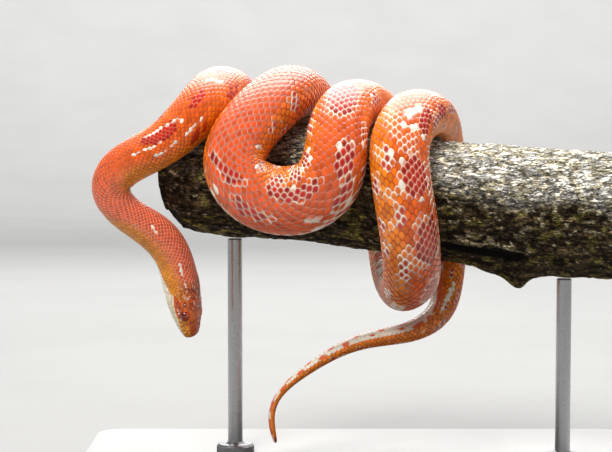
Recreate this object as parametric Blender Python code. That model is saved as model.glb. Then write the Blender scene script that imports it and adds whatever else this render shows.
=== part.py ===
"""A corn snake wound over a short cut branch, as a life-size display model.

The body follows one centreline. Where it lies on the branch, a control point
is given by its place along the branch, its turn round it and its height off
the bark; where it hangs free, by plain coordinates. All sizes are in
millimetres and become metres when a mesh is made. The base stands on z = 0
with the origin at its centre, +Z is up and the front of the pose faces -Y.
"""
import math

import bmesh
import bpy
import numpy as np

OBJECT = "corn_snake_on_perch"
MM = 0.001

# Display stand
BASE_LENGTH = 270.0
BASE_DEPTH = 127.0
BASE_HEIGHT = 8.0
BASE_CORNER = 12.0
BASE_EDGE = 1.5
ROD_RADIUS = 3.5
ROD_FOOT_RADIUS = 9.0
ROD_FOOT_HEIGHT = 4.0
ROD_PLACES = {"stand_rod_left": -62.0, "stand_rod_right": 92.0}

# Branch: axis stations x, y, z and the bark's radius there
BRANCH = [
    (-102.9, 9.5, 142.7, 29.3),
    (-30.8, -1.5, 138.3, 28.9),
    (34.8, -11.5, 130.1, 29.0),
    (85.3, -19.0, 124.9, 29.6),
    (125.8, -25.5, 123.0, 29.8),
]
BRANCH_LEFT = -97.6
BRANCH_SLANT = 15.5
BRANCH_RIGHT = 128.5
BRANCH_SIDES = 44
BRANCH_STEPS = 52

# Clearances
GAP = 0.3
CUT_GAP = 0.4
BARK_GAP = 0.5

# Snake: rings, cuts and the easing of its bends
SIDES = 20
RING_STEP = 5.5
HEAD_END = 26.0
EASE = 5.0
EASE_STEP = 0.25

# Centreline from the snout to the tail's tip.
# free: x, y, z, then the way the back faces there
# on:   x, turn round the branch in degrees (0 front, 90 top, 180 back),
#       height of the centreline off the bark, roll of the back in degrees
PATH = [
    # head, hanging nose down
    ("free", -81.4, -24.5, 67.4, (0.91, -0.41, 0.0)),
    ("free", -84.3, -24.5, 84.7, (0.91, -0.41, 0.0)),
    # neck, bent back over itself
    ("free", -87.0, -25.0, 99.6, (0.86, -0.50, 0.10)),
    ("free", -94.0, -27.0, 113.7, (0.60, -0.65, 0.45)),
    ("free", -109.9, -30.5, 125.2, (0.25, -0.78, 0.55)),
    ("free", -118.0, -32.5, 136.1, (-0.35, -0.93, 0.0)),
    ("free", -112.4, -33.0, 146.6, (-0.50, -0.78, 0.38)),
    # rising over the branch from the front
    ("on", -95.5, 18.9, 11.6, 0.0),
    ("on", -80.8, 40.7, 12.0, 0.0),
    ("on", -73.0, 61.1, 12.2, 0.0),
    ("on", -66.8, 100.0, 12.2, 0.0),
    # turning on the back of the branch
    ("on", -61.5, 128.0, 12.5, 0.0),
    ("on", -57.0, 149.0, 12.8, 0.0),
    ("on", -43.0, 160.0, 13.0, 0.0),
    ("on", -29.0, 149.0, 12.8, 0.0),
    ("on", -25.0, 128.0, 12.8, 0.0),
    ("on", -31.0, 103.0, 13.4, 0.0),
    # open loop on the front
    ("on", -41.6, 63.0, 13.4, 0.0),
    ("on", -54.8, 34.5, 12.7, 4.0),
    ("on", -61.0, 13.8, 13.0, 8.0),
    ("on", -58.4, 1.0, 13.3, 10.0),
    ("on", -51.6, -7.0, 13.6, 12.0),
    ("on", -43.0, -10.5, 13.8, 14.0),
    ("on", -32.0, -9.5, 13.8, 14.0),
    ("on", -24.6, -4.6, 13.5, 12.0),
    ("on", -18.6, 3.4, 13.2, 10.0),
    ("on", -15.0, 18.0, 12.6, 8.0),
    ("on", -14.0, 37.0, 12.2, 4.0),
    ("on", -10.6, 58.9, 12.0, 0.0),
    # over the top, down the back and under the branch
    ("on", -3.1, 90.0, 12.0, 0.0),
    ("on", 7.3, 125.0, 12.2, 6.0),
    ("on", 14.0, 175.0, 12.6, 14.0),
    ("on", 17.2, 235.0, 13.0, 28.0),
    ("on", 20.7, 295.0, 12.7, 44.0),
    # up the front and over the top again
    ("on", 17.9, 345.0, 13.0, 44.0),
    ("on", 14.0, 390.0, 12.1, 28.0),
    ("on", 20.0, 425.0, 11.2, 18.0),
    ("on", 30.0, 460.0, 11.0, 14.0),
    # down the back, thinning into the tail
    ("on", 37.2, 505.0, 11.0, 22.0),
    ("on", 41.5, 555.0, 10.0, 44.0),
    ("free", 41.1, 16.5, 88.4, (0.86, 0.50, 0.10)),
    ("free", 36.4, 6.5, 74.7, (0.70, 0.45, -0.55)),
    ("free", 23.6, -0.5, 67.1, (0.20, 0.60, -0.77)),
    ("free", 6.6, -5.5, 64.4, (0.0, 0.62, -0.78)),
    ("free", -9.1, -9.0, 60.6, (0.10, 0.62, -0.78)),
    ("free", -23.3, -11.5, 52.9, (0.35, 0.60, -0.70)),
    ("free", -36.9, -13.0, 42.9, (0.55, 0.55, -0.60)),
    ("free", -44.5, -13.5, 31.4, (0.80, 0.55, -0.20)),
    ("free", -42.2, -13.5, 15.4, (0.85, 0.50, 0.10)),
]

# Half width of the body by length from the snout
GIRTH = [
    (25.0, 8.8), (32.0, 8.5), (50.0, 8.7), (68.0, 8.1), (82.0, 8.8), (96.0, 9.5), (112.0, 9.9),
    (126.0, 10.8), (142.0, 12.0), (165.0, 12.8), (200.0, 13.3), (250.0, 13.8), (300.0, 14.4),
    (340.0, 14.2), (385.0, 15.8), (425.0, 14.0), (480.0, 12.9), (552.0, 14.0), (642.0, 14.3), (700.0, 13.5),
    (735.0, 12.8), (762.0, 12.0), (790.0, 10.4), (820.0, 8.5), (838.0, 7.0), (854.0, 5.7),
    (869.0, 4.6), (893.0, 3.5), (918.0, 2.4), (938.0, 1.6), (956.0, 1.25), (961.0, 0.8),
]

# Height of the back and depth of the belly, as shares of the half width
BACK_SHARE = [(25.0, 0.93), (90.0, 0.96), (130.0, 0.90), (290.0, 0.92), (400.0, 0.86),
              (800.0, 0.90), (870.0, 1.0)]
BELLY_SHARE = [(25.0, 0.95), (90.0, 0.96), (130.0, 0.88), (400.0, 0.84), (800.0, 0.88), (870.0, 1.0)]

# Head by length from the snout: half width, crown height, jaw depth
HEAD = [
    (0.0, 0.9, 0.8, 0.7), (0.3, 2.3, 1.8, 1.6), (0.8, 3.3, 2.7, 2.2), (1.8, 4.3, 3.7, 3.0),
    (3.5, 5.15, 4.6, 3.9), (5.5, 5.9, 5.2, 4.6), (8.0, 6.7, 5.9, 5.4), (11.0, 7.6, 6.5, 6.3),
    (14.0, 8.4, 6.9, 6.9), (17.0, 9.0, 7.3, 7.4), (20.0, 9.2, 7.6, 7.8), (23.0, 9.0, 7.9, 8.2),
    (26.0, 8.7, 8.1, 8.3),
]
HEAD_STATIONS = [
    0.3, 0.7, 1.2, 1.8, 2.6, 3.5, 4.7, 5.9, 7.0, 8.0, 9.0, 10.0, 11.0, 12.0, 13.2, 14.6, 16.0,
    17.5, 19.0, 20.5, 22.2, 24.0,
]
MOUTH_LINE = [(0.0, -0.5), (3.5, -1.2), (8.0, -1.9), (13.0, -2.3), (17.5, -2.0), (21.0, -1.2)]
MOUTH_DEPTH = 0.55
MOUTH_OPEN = 0.32
MOUTH_CORNER = 20.0
LIP_PROUD = 0.14

# Eyes and nostrils: length from the snout, height above the head's axis
EYE_RADIUS = 2.6
EYE_STATION = 11.2
EYE_HEIGHT = 2.2
EYE_SUNK = 1.85
NOSTRIL_STATION = 2.3
NOSTRIL_HEIGHT = 1.2
NOSTRIL_RADIUS = 0.6

# Lengths of the snake and where each ends, from the snout
LENGTHS = [
    ("neck", 98.0), ("body_rise", 178.0), ("body_back_turn", 285.0), ("body_loop_left", 375.0),
    ("body_loop_right", 455.0), ("body_descent", 560.0), ("body_under_turn", 640.0),
    ("body_ascent", 735.0), ("body_taper", 835.0), ("tail_base", 885.0), ("tail_middle", 935.0),
    ("tail_tip", None),
]


# Curves

def spline(knots, values, at):
    """Natural cubic spline through values at knots, read at each place in at."""
    t = np.asarray(knots, float)
    p = np.asarray(values, float)
    q = np.asarray(at, float)
    h = np.diff(t)
    count = len(t)
    matrix = np.eye(count)
    right = np.zeros_like(p)
    for i in range(1, count - 1):
        matrix[i, i - 1:i + 2] = h[i - 1], 2 * (h[i - 1] + h[i]), h[i]
        right[i] = 6 * ((p[i + 1] - p[i]) / h[i] - (p[i] - p[i - 1]) / h[i - 1])
    bend = np.linalg.solve(matrix, right)
    i = np.clip(np.searchsorted(t, q, side="right") - 1, 0, count - 2)
    shape = (-1,) + (1,) * (p.ndim - 1)
    a = ((q - t[i]) / h[i]).reshape(shape)
    b = 1 - a
    step = h[i].reshape(shape)
    curve = step ** 2 / 6 * ((b ** 3 - b) * bend[i] + (a ** 3 - a) * bend[i + 1])
    return b * p[i] + a * p[i + 1] + curve


def table(rows, at, column=1):
    """Smoothly blended value of a table's column at each place in at."""
    keys = np.array([row[0] for row in rows], float)
    vals = np.array([row[column] for row in rows], float)
    at = np.clip(np.asarray(at, float), keys[0], keys[-1])
    slope = np.gradient(vals, keys)
    step = np.diff(vals) / np.diff(keys)
    flat = np.zeros(len(keys), bool)
    flat[1:-1] = step[:-1] * step[1:] <= 0
    slope[flat] = 0
    i = np.clip(np.searchsorted(keys, at, side="right") - 1, 0, len(keys) - 2)
    h = keys[i + 1] - keys[i]
    a = (at - keys[i]) / h
    return ((1 + 2 * a) * (1 - a) ** 2 * vals[i] + a * (1 - a) ** 2 * h * slope[i]
            + a * a * (3 - 2 * a) * vals[i + 1] + a * a * (a - 1) * h * slope[i + 1])


def branch_at(x):
    """Height and depth of the branch's axis, and its radius, at each x."""
    rows = np.array(BRANCH)
    read = spline(rows[:, 0], rows[:, 1:], np.clip(np.atleast_1d(x), rows[0, 0], rows[-1, 0] + 4))
    return read[:, 0], read[:, 1], read[:, 2]


def unit(v):
    return v / np.maximum(np.linalg.norm(v, axis=-1, keepdims=True), 1e-9)


class Spine:
    """The snake's centreline, read by length from the snout."""

    def __init__(self):
        points, self.marks = [], PATH
        for mark in PATH:
            if mark[0] == "free":
                points.append(mark[1:4])
            else:
                points.append(self.on_branch(*mark[1:4]))
        points = np.array(points)
        chords = np.linalg.norm(np.diff(points, axis=0), axis=1)
        knots = np.concatenate([[0], np.cumsum(np.sqrt(chords))])
        fine = np.linspace(0, knots[-1], 6000)
        reach, dense = self.soften(spline(knots, points, fine))
        self.reach, self.line = reach, dense
        self.length = reach[-1]
        nearest = [np.argmin(np.linalg.norm(dense - p, axis=1)) for p in points[1:-1]]
        self.marks_at = np.concatenate([[0.0], reach[nearest], [self.length]])
        self.backs = np.array([self.back(i) for i in range(len(PATH))])

    @staticmethod
    def soften(dense):
        """Even spacing, then bends eased over a few millimetres of length."""
        steps = np.linalg.norm(np.diff(dense, axis=0), axis=1)
        reach = np.concatenate([[0], np.cumsum(steps)])
        even = np.arange(0, reach[-1], EASE_STEP)
        line = np.stack([np.interp(even, reach, dense[:, k]) for k in range(3)], axis=1)
        half = int(3 * EASE / EASE_STEP)
        weight = np.exp(-0.5 * (np.arange(-half, half + 1) * EASE_STEP / EASE) ** 2)
        weight /= weight.sum()
        before = 2 * line[0] - line[half:0:-1]
        after = 2 * line[-1] - line[-2:-half - 2:-1]
        padded = np.concatenate([before, line, after])
        eased = np.stack([np.convolve(padded[:, k], weight, "valid") for k in range(3)], axis=1)
        steps = np.linalg.norm(np.diff(eased, axis=0), axis=1)
        return np.concatenate([[0], np.cumsum(steps)]), eased

    @staticmethod
    def on_branch(x, turn, lift):
        y, z, r = (float(v[0]) for v in branch_at(x))
        a = math.radians(turn)
        return (x, y - (r + lift) * math.cos(a), z + (r + lift) * math.sin(a))

    def back(self, i):
        """The way the back faces at control point i."""
        mark = self.marks[i]
        if mark[0] == "free":
            return unit(np.array(mark[4]))
        along = self.tangent(self.marks_at[i:i + 1])[0]
        a = math.radians(mark[2])
        out = np.array([0.0, -math.cos(a), math.sin(a)])
        out = unit(out - along * out.dot(along))
        roll = math.radians(mark[4])
        return out * math.cos(roll) + np.cross(along, out) * math.sin(roll)

    def place(self, s):
        return np.stack([np.interp(s, self.reach, self.line[:, k]) for k in range(3)], axis=-1)

    def tangent(self, s):
        s = np.clip(s, 0.3, self.length - 0.3)
        return unit(self.place(s + 0.3) - self.place(s - 0.3))

    def frames(self, s):
        """Place, tangent, side and back directions at each length in s."""
        s = np.asarray(s, float)
        along = self.tangent(s)
        back = spline(self.marks_at, self.backs, s)
        back = unit(back - along * np.sum(back * along, axis=1, keepdims=True))
        return self.place(s), along, np.cross(along, back), back

    def bend(self, s):
        """Vector to the centre of the bend at each length, over its square."""
        s = np.clip(s, 2.0, self.length - 2.0)
        return (self.place(s + 2) - 2 * self.place(s) + self.place(s - 2)) / 4


def squeeze(offsets, bend):
    """Keep the inside of a tight bend short of the bend's centre."""
    size = np.linalg.norm(bend, axis=-1)[:, None]
    toward = unit(bend)[:, None, :]
    radius = 1 / np.maximum(size, 1e-4)
    inward = np.sum(offsets * toward, axis=2)
    soft, hard = 0.7 * radius, 0.95 * radius
    pressed = soft + (hard - soft) * (1 - np.exp(-np.maximum(inward - soft, 0) / (hard - soft)))
    inward_new = np.where(inward > soft, pressed, inward)
    return offsets + (inward_new - inward)[:, :, None] * toward


def clear_of_bark(points):
    """Move points that would sink in the bark straight out to its surface."""
    flat = points.reshape(-1, 3).copy()
    y, z, r = branch_at(flat[:, 0])
    dy, dz = flat[:, 1] - y, flat[:, 2] - z
    away = np.hypot(dy, dz)
    need = np.maximum(r + BARK_GAP, away)
    flat[:, 1] = y + dy / away * need
    flat[:, 2] = z + dz / away * need
    return flat.reshape(points.shape)


# Mesh making

def material(name, colour, rough=0.45, metal=0.0):
    made = bpy.data.materials.new(name)
    made.use_nodes = True
    shader = made.node_tree.nodes["Principled BSDF"]
    shader.inputs["Base Color"].default_value = (*colour, 1.0)
    shader.inputs["Roughness"].default_value = rough
    shader.inputs["Metallic"].default_value = metal
    made.diffuse_color = (*colour, 1.0)
    return made


def finish_mesh(name, mesh, paint, sharp=50.0):
    """Turn a bmesh in millimetres into a smooth shaded object in metres."""
    bmesh.ops.recalc_face_normals(mesh, faces=mesh.faces)
    bmesh.ops.scale(mesh, vec=(MM, MM, MM), verts=mesh.verts)
    data = bpy.data.meshes.new(name)
    mesh.to_mesh(data)
    mesh.free()
    data.polygons.foreach_set("use_smooth", [True] * len(data.polygons))
    data.set_sharp_from_angle(angle=math.radians(sharp))
    data.materials.append(paint)
    made = bpy.data.objects.new(name, data)
    model.objects.link(made)
    return made


def loft(rings, start=None, end=None):
    """Closed bmesh through rings; each end closes on a point or its middle."""
    mesh = bmesh.new()
    rows = [[mesh.verts.new(p) for p in ring] for ring in rings]
    for low, high in zip(rows, rows[1:]):
        for i in range(len(low)):
            j = (i + 1) % len(low)
            mesh.faces.new((low[i], low[j], high[j], high[i]))
    for row, ring, tip in ((rows[0], rings[0], start), (rows[-1], rings[-1], end)):
        middle = mesh.verts.new(np.mean(ring, axis=0) if tip is None else tip)
        for i in range(len(row)):
            mesh.faces.new((row[i], row[(i + 1) % len(row)], middle))
    return mesh


def round_section(angle, wide, back, belly, top=2.1, under=2.5):
    """Side and height of a section with a domed back and a flatter belly."""
    side, up = np.sin(angle), np.cos(angle)
    power = np.where(up > 0, 2 / top, 2 / under)
    rise = np.where(up > 0, back, belly)
    return wide * np.sign(side) * np.abs(side) ** power, rise * np.sign(up) * np.abs(up) ** power


# Snake

def body_rings(spine, stations):
    place, along, side, back = spine.frames(stations)
    angle = np.linspace(0, 2 * math.pi, SIDES, endpoint=False)[None, :]
    wide = table(GIRTH, stations)[:, None]
    high = wide * table(BACK_SHARE, stations)[:, None]
    deep = wide * table(BELLY_SHARE, stations)[:, None]
    v, h = round_section(angle, wide, high, deep)
    offsets = v[:, :, None] * side[:, None, :] + h[:, :, None] * back[:, None, :]
    offsets = squeeze(offsets, spine.bend(stations))
    return clear_of_bark(place[:, None, :] + offsets)


def body_length(spine, name, begin, end, paint):
    """One length of the body between two cuts across it."""
    first = begin + CUT_GAP / 2
    last = (spine.length if end is None else end) - (1.2 if end is None else CUT_GAP / 2)
    count = max(3, round((last - first) / RING_STEP) + 1)
    rings = body_rings(spine, np.linspace(first, last, count))
    tip = spine.place(np.array([spine.length]))[0] if end is None else None
    return finish_mesh(name, loft(list(rings), end=tip), paint)


def head_angles(jaw, mouth, wide):
    """Angles of the right half of a head section, close set at the mouth."""
    drop = min(abs(mouth) / jaw, 0.98)
    lip = math.pi - math.acos(drop ** (2.3 / 2))
    reach = MOUTH_OPEN / max(wide, 1.5)
    crown = np.linspace(0, lip - reach, 10)
    throat = np.linspace(lip + reach, math.pi, 8)
    return np.concatenate([crown, [lip], throat]), 10


def head_ring(spine, s):
    """One section of the head: flat crown, brow, lips and a narrower jaw."""
    wide, crown, jaw = (float(table(HEAD, [s], k)[0]) for k in (1, 2, 3))
    mouth = float(table(MOUTH_LINE, [s])[0])
    angle, notch = head_angles(jaw, mouth, wide)
    v, h = round_section(angle, wide, crown, jaw, top=2.35, under=2.3)
    fade = np.clip((MOUTH_CORNER - s) / 3.0, 0, 1) * min(1.0, wide / 4.5)
    v[notch:] *= 1 - 0.035 * fade
    v[notch] -= MOUTH_DEPTH * fade
    v[[notch - 1, notch + 1]] += LIP_PROUD * fade
    brow = math.exp(-((s - EYE_STATION) / 3.2) ** 2)
    v += 0.35 * brow * np.exp(-((angle - 0.95) / 0.28) ** 2)
    h += 0.30 * brow * np.exp(-((angle - 0.85) / 0.30) ** 2)
    v = np.concatenate([v, -v[-2:0:-1]])
    h = np.concatenate([h, h[-2:0:-1]])
    place, along, side, back = (row[0] for row in spine.frames([s]))
    return place + v[:, None] * side + h[:, None] * back


def head_point(spine, s, out, up, hand):
    """Point beside the head's axis; hand is 1 for one side and -1 the other."""
    place, along, side, back = (row[0] for row in spine.frames([s]))
    return place + side * out * hand + back * up


def half_width(s, up):
    """Half width of the head at a height above its axis."""
    wide, crown = (float(table(HEAD, [s], k)[0]) for k in (1, 2))
    return wide * (1 - min(up / crown, 1) ** 2.35) ** (1 / 2.35)


def ball(name, centre, radius, collection, rings=12, sides=20):
    mesh = bmesh.new()
    bmesh.ops.create_uvsphere(mesh, u_segments=sides, v_segments=rings, radius=radius * MM)
    bmesh.ops.translate(mesh, vec=tuple(np.array(centre) * MM), verts=mesh.verts)
    data = bpy.data.meshes.new(name)
    mesh.to_mesh(data)
    mesh.free()
    data.polygons.foreach_set("use_smooth", [True] * len(data.polygons))
    made = bpy.data.objects.new(name, data)
    collection.objects.link(made)
    return made


def keep_largest(made):
    """Keep only the largest closed surface of an object."""
    mesh = bmesh.new()
    mesh.from_mesh(made.data)
    left = set(mesh.verts)
    groups = []
    while left:
        group, edge = set(), [left.pop()]
        while edge:
            vert = edge.pop()
            group.add(vert)
            for link in vert.link_edges:
                other = link.other_vert(vert)
                if other in left:
                    left.discard(other)
                    edge.append(other)
        groups.append(group)
    biggest = max(groups, key=len)
    bmesh.ops.delete(mesh, geom=[v for g in groups if g is not biggest for v in g], context="VERTS")
    mesh.to_mesh(made.data)
    mesh.free()


def build_head(spine, skin, eye_paint):
    last = HEAD_END - CUT_GAP / 2
    rings = [head_ring(spine, s) for s in HEAD_STATIONS + [last]]
    snout = spine.place(np.array([0.0]))[0] + spine.frames([0.0])[3][0] * MOUTH_LINE[0][1]
    head = finish_mesh("head", loft(rings, start=snout), skin, sharp=60.0)
    for hand, name in ((-1, "right"), (1, "left")):
        out = half_width(EYE_STATION, EYE_HEIGHT) - EYE_SUNK
        eye = head_point(spine, EYE_STATION, out, EYE_HEIGHT, hand)
        ball("eye_" + name, eye, EYE_RADIUS, model).data.materials.append(eye_paint)
        ball("socket_cutter_" + name, eye, EYE_RADIUS + GAP, cutters, 14, 24)
        out = half_width(NOSTRIL_STATION, NOSTRIL_HEIGHT) + 0.05
        pit = head_point(spine, NOSTRIL_STATION, out, NOSTRIL_HEIGHT, hand)
        ball("nostril_cutter_" + name, pit, NOSTRIL_RADIUS, cutters, 8, 12)
    cut = head.modifiers.new("openings", "BOOLEAN")
    cut.operation = "DIFFERENCE"
    cut.operand_type = "COLLECTION"
    cut.collection = cutters
    cut.solver = "EXACT"
    bpy.context.view_layer.objects.active = head
    bpy.ops.object.modifier_apply(modifier=cut.name)
    keep_largest(head)
    head.data.set_sharp_from_angle(angle=math.radians(40))
    return head


def build_snake(spine):
    skin = material("snake_orange", (0.82, 0.24, 0.07))
    pale = material("snake_red", (0.70, 0.12, 0.05))
    eye_paint = material("eye_ruby", (0.10, 0.01, 0.01), rough=0.08)
    build_head(spine, skin, eye_paint)
    begin = HEAD_END
    for i, (name, end) in enumerate(LENGTHS):
        body_length(spine, name, begin, end, pale if i % 2 else skin)
        begin = end


# Branch

def bark(x, turn):
    """Furrow depth, crack, ledge, crest and knot of the bark."""
    furrow = -0.9 * (0.5 + 0.5 * np.sin(11 * turn + 0.9 * np.sin(0.045 * x + 1) + 0.02 * x)) ** 3
    furrow -= 0.5 * (0.5 + 0.5 * np.sin(17 * turn - 1.1 * np.sin(0.07 * x) + 2)) ** 2
    furrow -= 0.35 * (0.5 + 0.5 * np.sin(0.16 * x + 2.5 * np.sin(2 * turn))) ** 2
    seat = np.ones_like(x)
    under = np.sin(turn) < 0
    for place in ROD_PLACES.values():
        near = ((x - place) / 7) ** 2 + (29 * np.cos(turn) / 7) ** 2
        seat = np.where(under, seat * (1 - np.exp(-near ** 2)), seat)
    low = np.degrees(np.arctan2(np.sin(turn), np.cos(turn)))
    crack = np.exp(-(((low + 47) / 5.5) ** 2)) / (1 + np.exp(-(x - 40) / 2)) / (1 + np.exp((x - 76) / 4))
    ledge = np.exp(-(((low + 78) / 16) ** 2)) / (1 + np.exp(-(x - 52) / 2)) / (1 + np.exp((x - 82) / 2))
    crest = np.exp(-(((low - 90) / 38) ** 2)) / (1 + np.exp(-(x - 56) / 4))
    knot = np.exp(-((x - 71) / np.where(x < 71, 6.5, 3.8)) ** 2 - ((low + 84) / 9) ** 2)
    return (furrow - 2.2 * crack) * seat + 2.8 * ledge + 0.8 * crest + 5.6 * knot


def build_branch():
    """Cut branch: a slanting broken left end and a square sawn right end."""
    turn = np.linspace(0, 2 * math.pi, BRANCH_SIDES, endpoint=False)
    left = BRANCH_LEFT + BRANCH_SLANT * (1 - np.cos(turn))
    rings = []
    share = np.linspace(0, 1, BRANCH_STEPS)
    rims = {0: (0.86, 0.0), 1: (0.96, 1.6), BRANCH_STEPS - 2: (1.0, -1.2), BRANCH_STEPS - 1: (0.96, 0.0)}
    for i, a in enumerate(share):
        x = left * (1 - a) + BRANCH_RIGHT * a
        if i == 1:
            x = left + 2.0
        if i == BRANCH_STEPS - 2:
            x = np.full_like(left, BRANCH_RIGHT - 1.0)
        y, z, r = branch_at(x)
        scale = rims.get(i, (1.0, 0.0))[0]
        r = (r + bark(x, turn)) * scale
        rings.append(np.stack([x, y - r * np.cos(turn), z + r * np.sin(turn)], axis=1))
    paint = material("bark", (0.16, 0.12, 0.08), rough=0.9)
    return finish_mesh("branch", loft(rings), paint, sharp=45.0)


# Stand

def build_base(steel):
    mesh = bmesh.new()
    bmesh.ops.create_cube(mesh, size=1.0)
    bmesh.ops.scale(mesh, vec=(BASE_LENGTH, BASE_DEPTH, BASE_HEIGHT), verts=mesh.verts)
    bmesh.ops.translate(mesh, vec=(0, 0, BASE_HEIGHT / 2), verts=mesh.verts)
    upright = [e for e in mesh.edges if abs(e.verts[0].co.z - e.verts[1].co.z) > 1]
    bmesh.ops.bevel(mesh, geom=upright, offset=BASE_CORNER, segments=6, profile=0.5, affect="EDGES")
    rim = [e for e in mesh.edges if min(v.co.z for v in e.verts) > BASE_HEIGHT - 0.01]
    bmesh.ops.bevel(mesh, geom=rim, offset=BASE_EDGE, segments=3, profile=0.5, affect="EDGES")
    return finish_mesh("stand_base", mesh, steel, sharp=40.0)


def build_rod(name, x, steel):
    """Slim rod with a turned foot, from the base to the underside of the bark."""
    y, z, r = (float(v[0]) for v in branch_at(x))
    top = z - r - GAP - 0.15
    low = BASE_HEIGHT + GAP
    foot = low + ROD_FOOT_HEIGHT
    profile = [
        (ROD_FOOT_RADIUS, low), (ROD_FOOT_RADIUS, foot - 1.0), (ROD_FOOT_RADIUS - 1.0, foot),
        (ROD_RADIUS + 1.0, foot), (ROD_RADIUS, foot + 1.0), (ROD_RADIUS, top - 0.5),
        (ROD_RADIUS - 0.5, top),
    ]
    turn = np.linspace(0, 2 * math.pi, 28, endpoint=False)
    rings = [np.stack([x + a * np.cos(turn), y + a * np.sin(turn), np.full(28, b)], axis=1)
             for a, b in profile]
    return finish_mesh(name, loft(rings), steel, sharp=35.0)


# Build

for old in list(bpy.data.objects):
    bpy.data.objects.remove(old, do_unlink=True)

model = bpy.data.collections.new(OBJECT)
cutters = bpy.data.collections.new("cutters")
bpy.context.scene.collection.children.link(model)
bpy.context.scene.collection.children.link(cutters)

centreline = Spine()
build_snake(centreline)
build_branch()
steel_paint = material("painted_steel", (0.62, 0.62, 0.60), rough=0.4)
build_base(steel_paint)
bare_steel = material("brushed_steel", (0.55, 0.55, 0.56), rough=0.3, metal=1.0)
for rod_name, rod_x in ROD_PLACES.items():
    build_rod(rod_name, rod_x, bare_steel)

for cutter in cutters.objects:
    cutter.hide_render = True
    cutter.display_type = "WIRE"
cutters.hide_render = True
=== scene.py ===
"""Looks of a life-size corn snake looped over a cut branch on a plain rod stand.

Lengths are worked out in millimetres and become metres when a mesh is made.
A place on the snake is named by two numbers: its length from the snout, s, and
its turn round the body, q, which is 0 on the back, -1 and 1 on the belly.
"""
import logging
import math
from dataclasses import dataclass, field
from enum import Enum

import bpy
import numpy as np
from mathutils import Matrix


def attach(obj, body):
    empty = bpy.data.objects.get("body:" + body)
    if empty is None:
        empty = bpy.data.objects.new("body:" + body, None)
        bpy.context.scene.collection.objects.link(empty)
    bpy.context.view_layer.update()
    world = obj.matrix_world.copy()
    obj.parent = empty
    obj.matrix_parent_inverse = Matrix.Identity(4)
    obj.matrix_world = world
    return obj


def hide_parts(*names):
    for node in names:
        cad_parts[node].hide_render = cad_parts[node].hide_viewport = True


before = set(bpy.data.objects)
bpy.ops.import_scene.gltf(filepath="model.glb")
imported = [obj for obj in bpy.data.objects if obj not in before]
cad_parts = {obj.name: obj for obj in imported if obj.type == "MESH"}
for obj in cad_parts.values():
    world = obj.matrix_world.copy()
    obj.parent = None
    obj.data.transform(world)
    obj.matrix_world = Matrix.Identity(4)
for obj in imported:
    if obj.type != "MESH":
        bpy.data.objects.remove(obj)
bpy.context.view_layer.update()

MM = 0.001
LIP = 0.66
FAR = 99.0
Array = np.ndarray
Colour = tuple[float, float, float]
Object = bpy.types.Object
Material = bpy.types.Material
Node = bpy.types.Node
Socket = bpy.types.NodeSocket
log = logging.getLogger("corn_snake")


class Hand(Enum):
    """The animal's own two sides, as the sign of q there."""

    LEFT = 1
    RIGHT = -1


class Tone(Enum):
    """Colours of scales, skin and plates, as linear red, green and blue."""

    GROUND = (0.76, 0.112, 0.005)
    GROUND_LINE = (0.44, 0.036, 0.003)
    FLANK = (0.80, 0.205, 0.006)
    FLANK_LINE = (0.40, 0.036, 0.003)
    SADDLE = (0.62, 0.014, 0.003)
    SADDLE_DARK = (0.42, 0.004, 0.001)
    SADDLE_LINE = (0.84, 0.40, 0.27)
    SPOT = (0.50, 0.026, 0.005)
    PALE = (0.90, 0.84, 0.70)
    BELLY = (0.88, 0.78, 0.64)
    CHECK = (0.74, 0.100, 0.012)
    CROWN = (0.60, 0.090, 0.006)
    SNOUT = (0.66, 0.115, 0.006)
    CHEEK = (0.76, 0.270, 0.008)
    STRIPE = (0.22, 0.012, 0.004)
    TEMPLE = (0.74, 0.130, 0.006)
    LIPS = (0.86, 0.76, 0.56)
    CHIN = (0.88, 0.80, 0.68)

    @property
    def rgb(self) -> Array:
        """The tone as an array."""
        return np.array(self.value)


# Curves and arrays

def spline(knots: Array, values: Array, at: Array) -> Array:
    """Natural cubic spline through values at knots.

    Each stretch is the straight line between two knots plus the cubic whose
    second derivative runs straight from one knot's value to the next one's.

    Args:
        knots: rising places of the values.
        values: numbers or points, one row a knot.
        at: where the curve is read.

    Returns:
        One row for each place in at.
    """
    t, p, x = (np.asarray(a, float) for a in (knots, values, at))
    h = np.diff(t)
    count = len(t)
    matrix = np.eye(count)
    right = np.zeros_like(p)
    inner = np.arange(1, count - 1)
    matrix[inner, inner - 1] = h[:-1]
    matrix[inner, inner] = 2 * (h[:-1] + h[1:])
    matrix[inner, inner + 1] = h[1:]
    wide = (-1,) + (1,) * (p.ndim - 1)
    slope = np.diff(p, axis=0) / h.reshape(wide)
    right[1:-1] = 6 * np.diff(slope, axis=0)
    bend = np.linalg.solve(matrix, right)
    i = np.clip(np.searchsorted(t, x, side="right") - 1, 0, count - 2)
    a = ((x - t[i]) / h[i]).reshape(wide)
    b = 1 - a
    step = h[i].reshape(wide)
    return b * p[i] + a * p[i + 1] + step ** 2 / 6 * ((b ** 3 - b) * bend[i] + (a ** 3 - a) * bend[i + 1])


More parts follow.
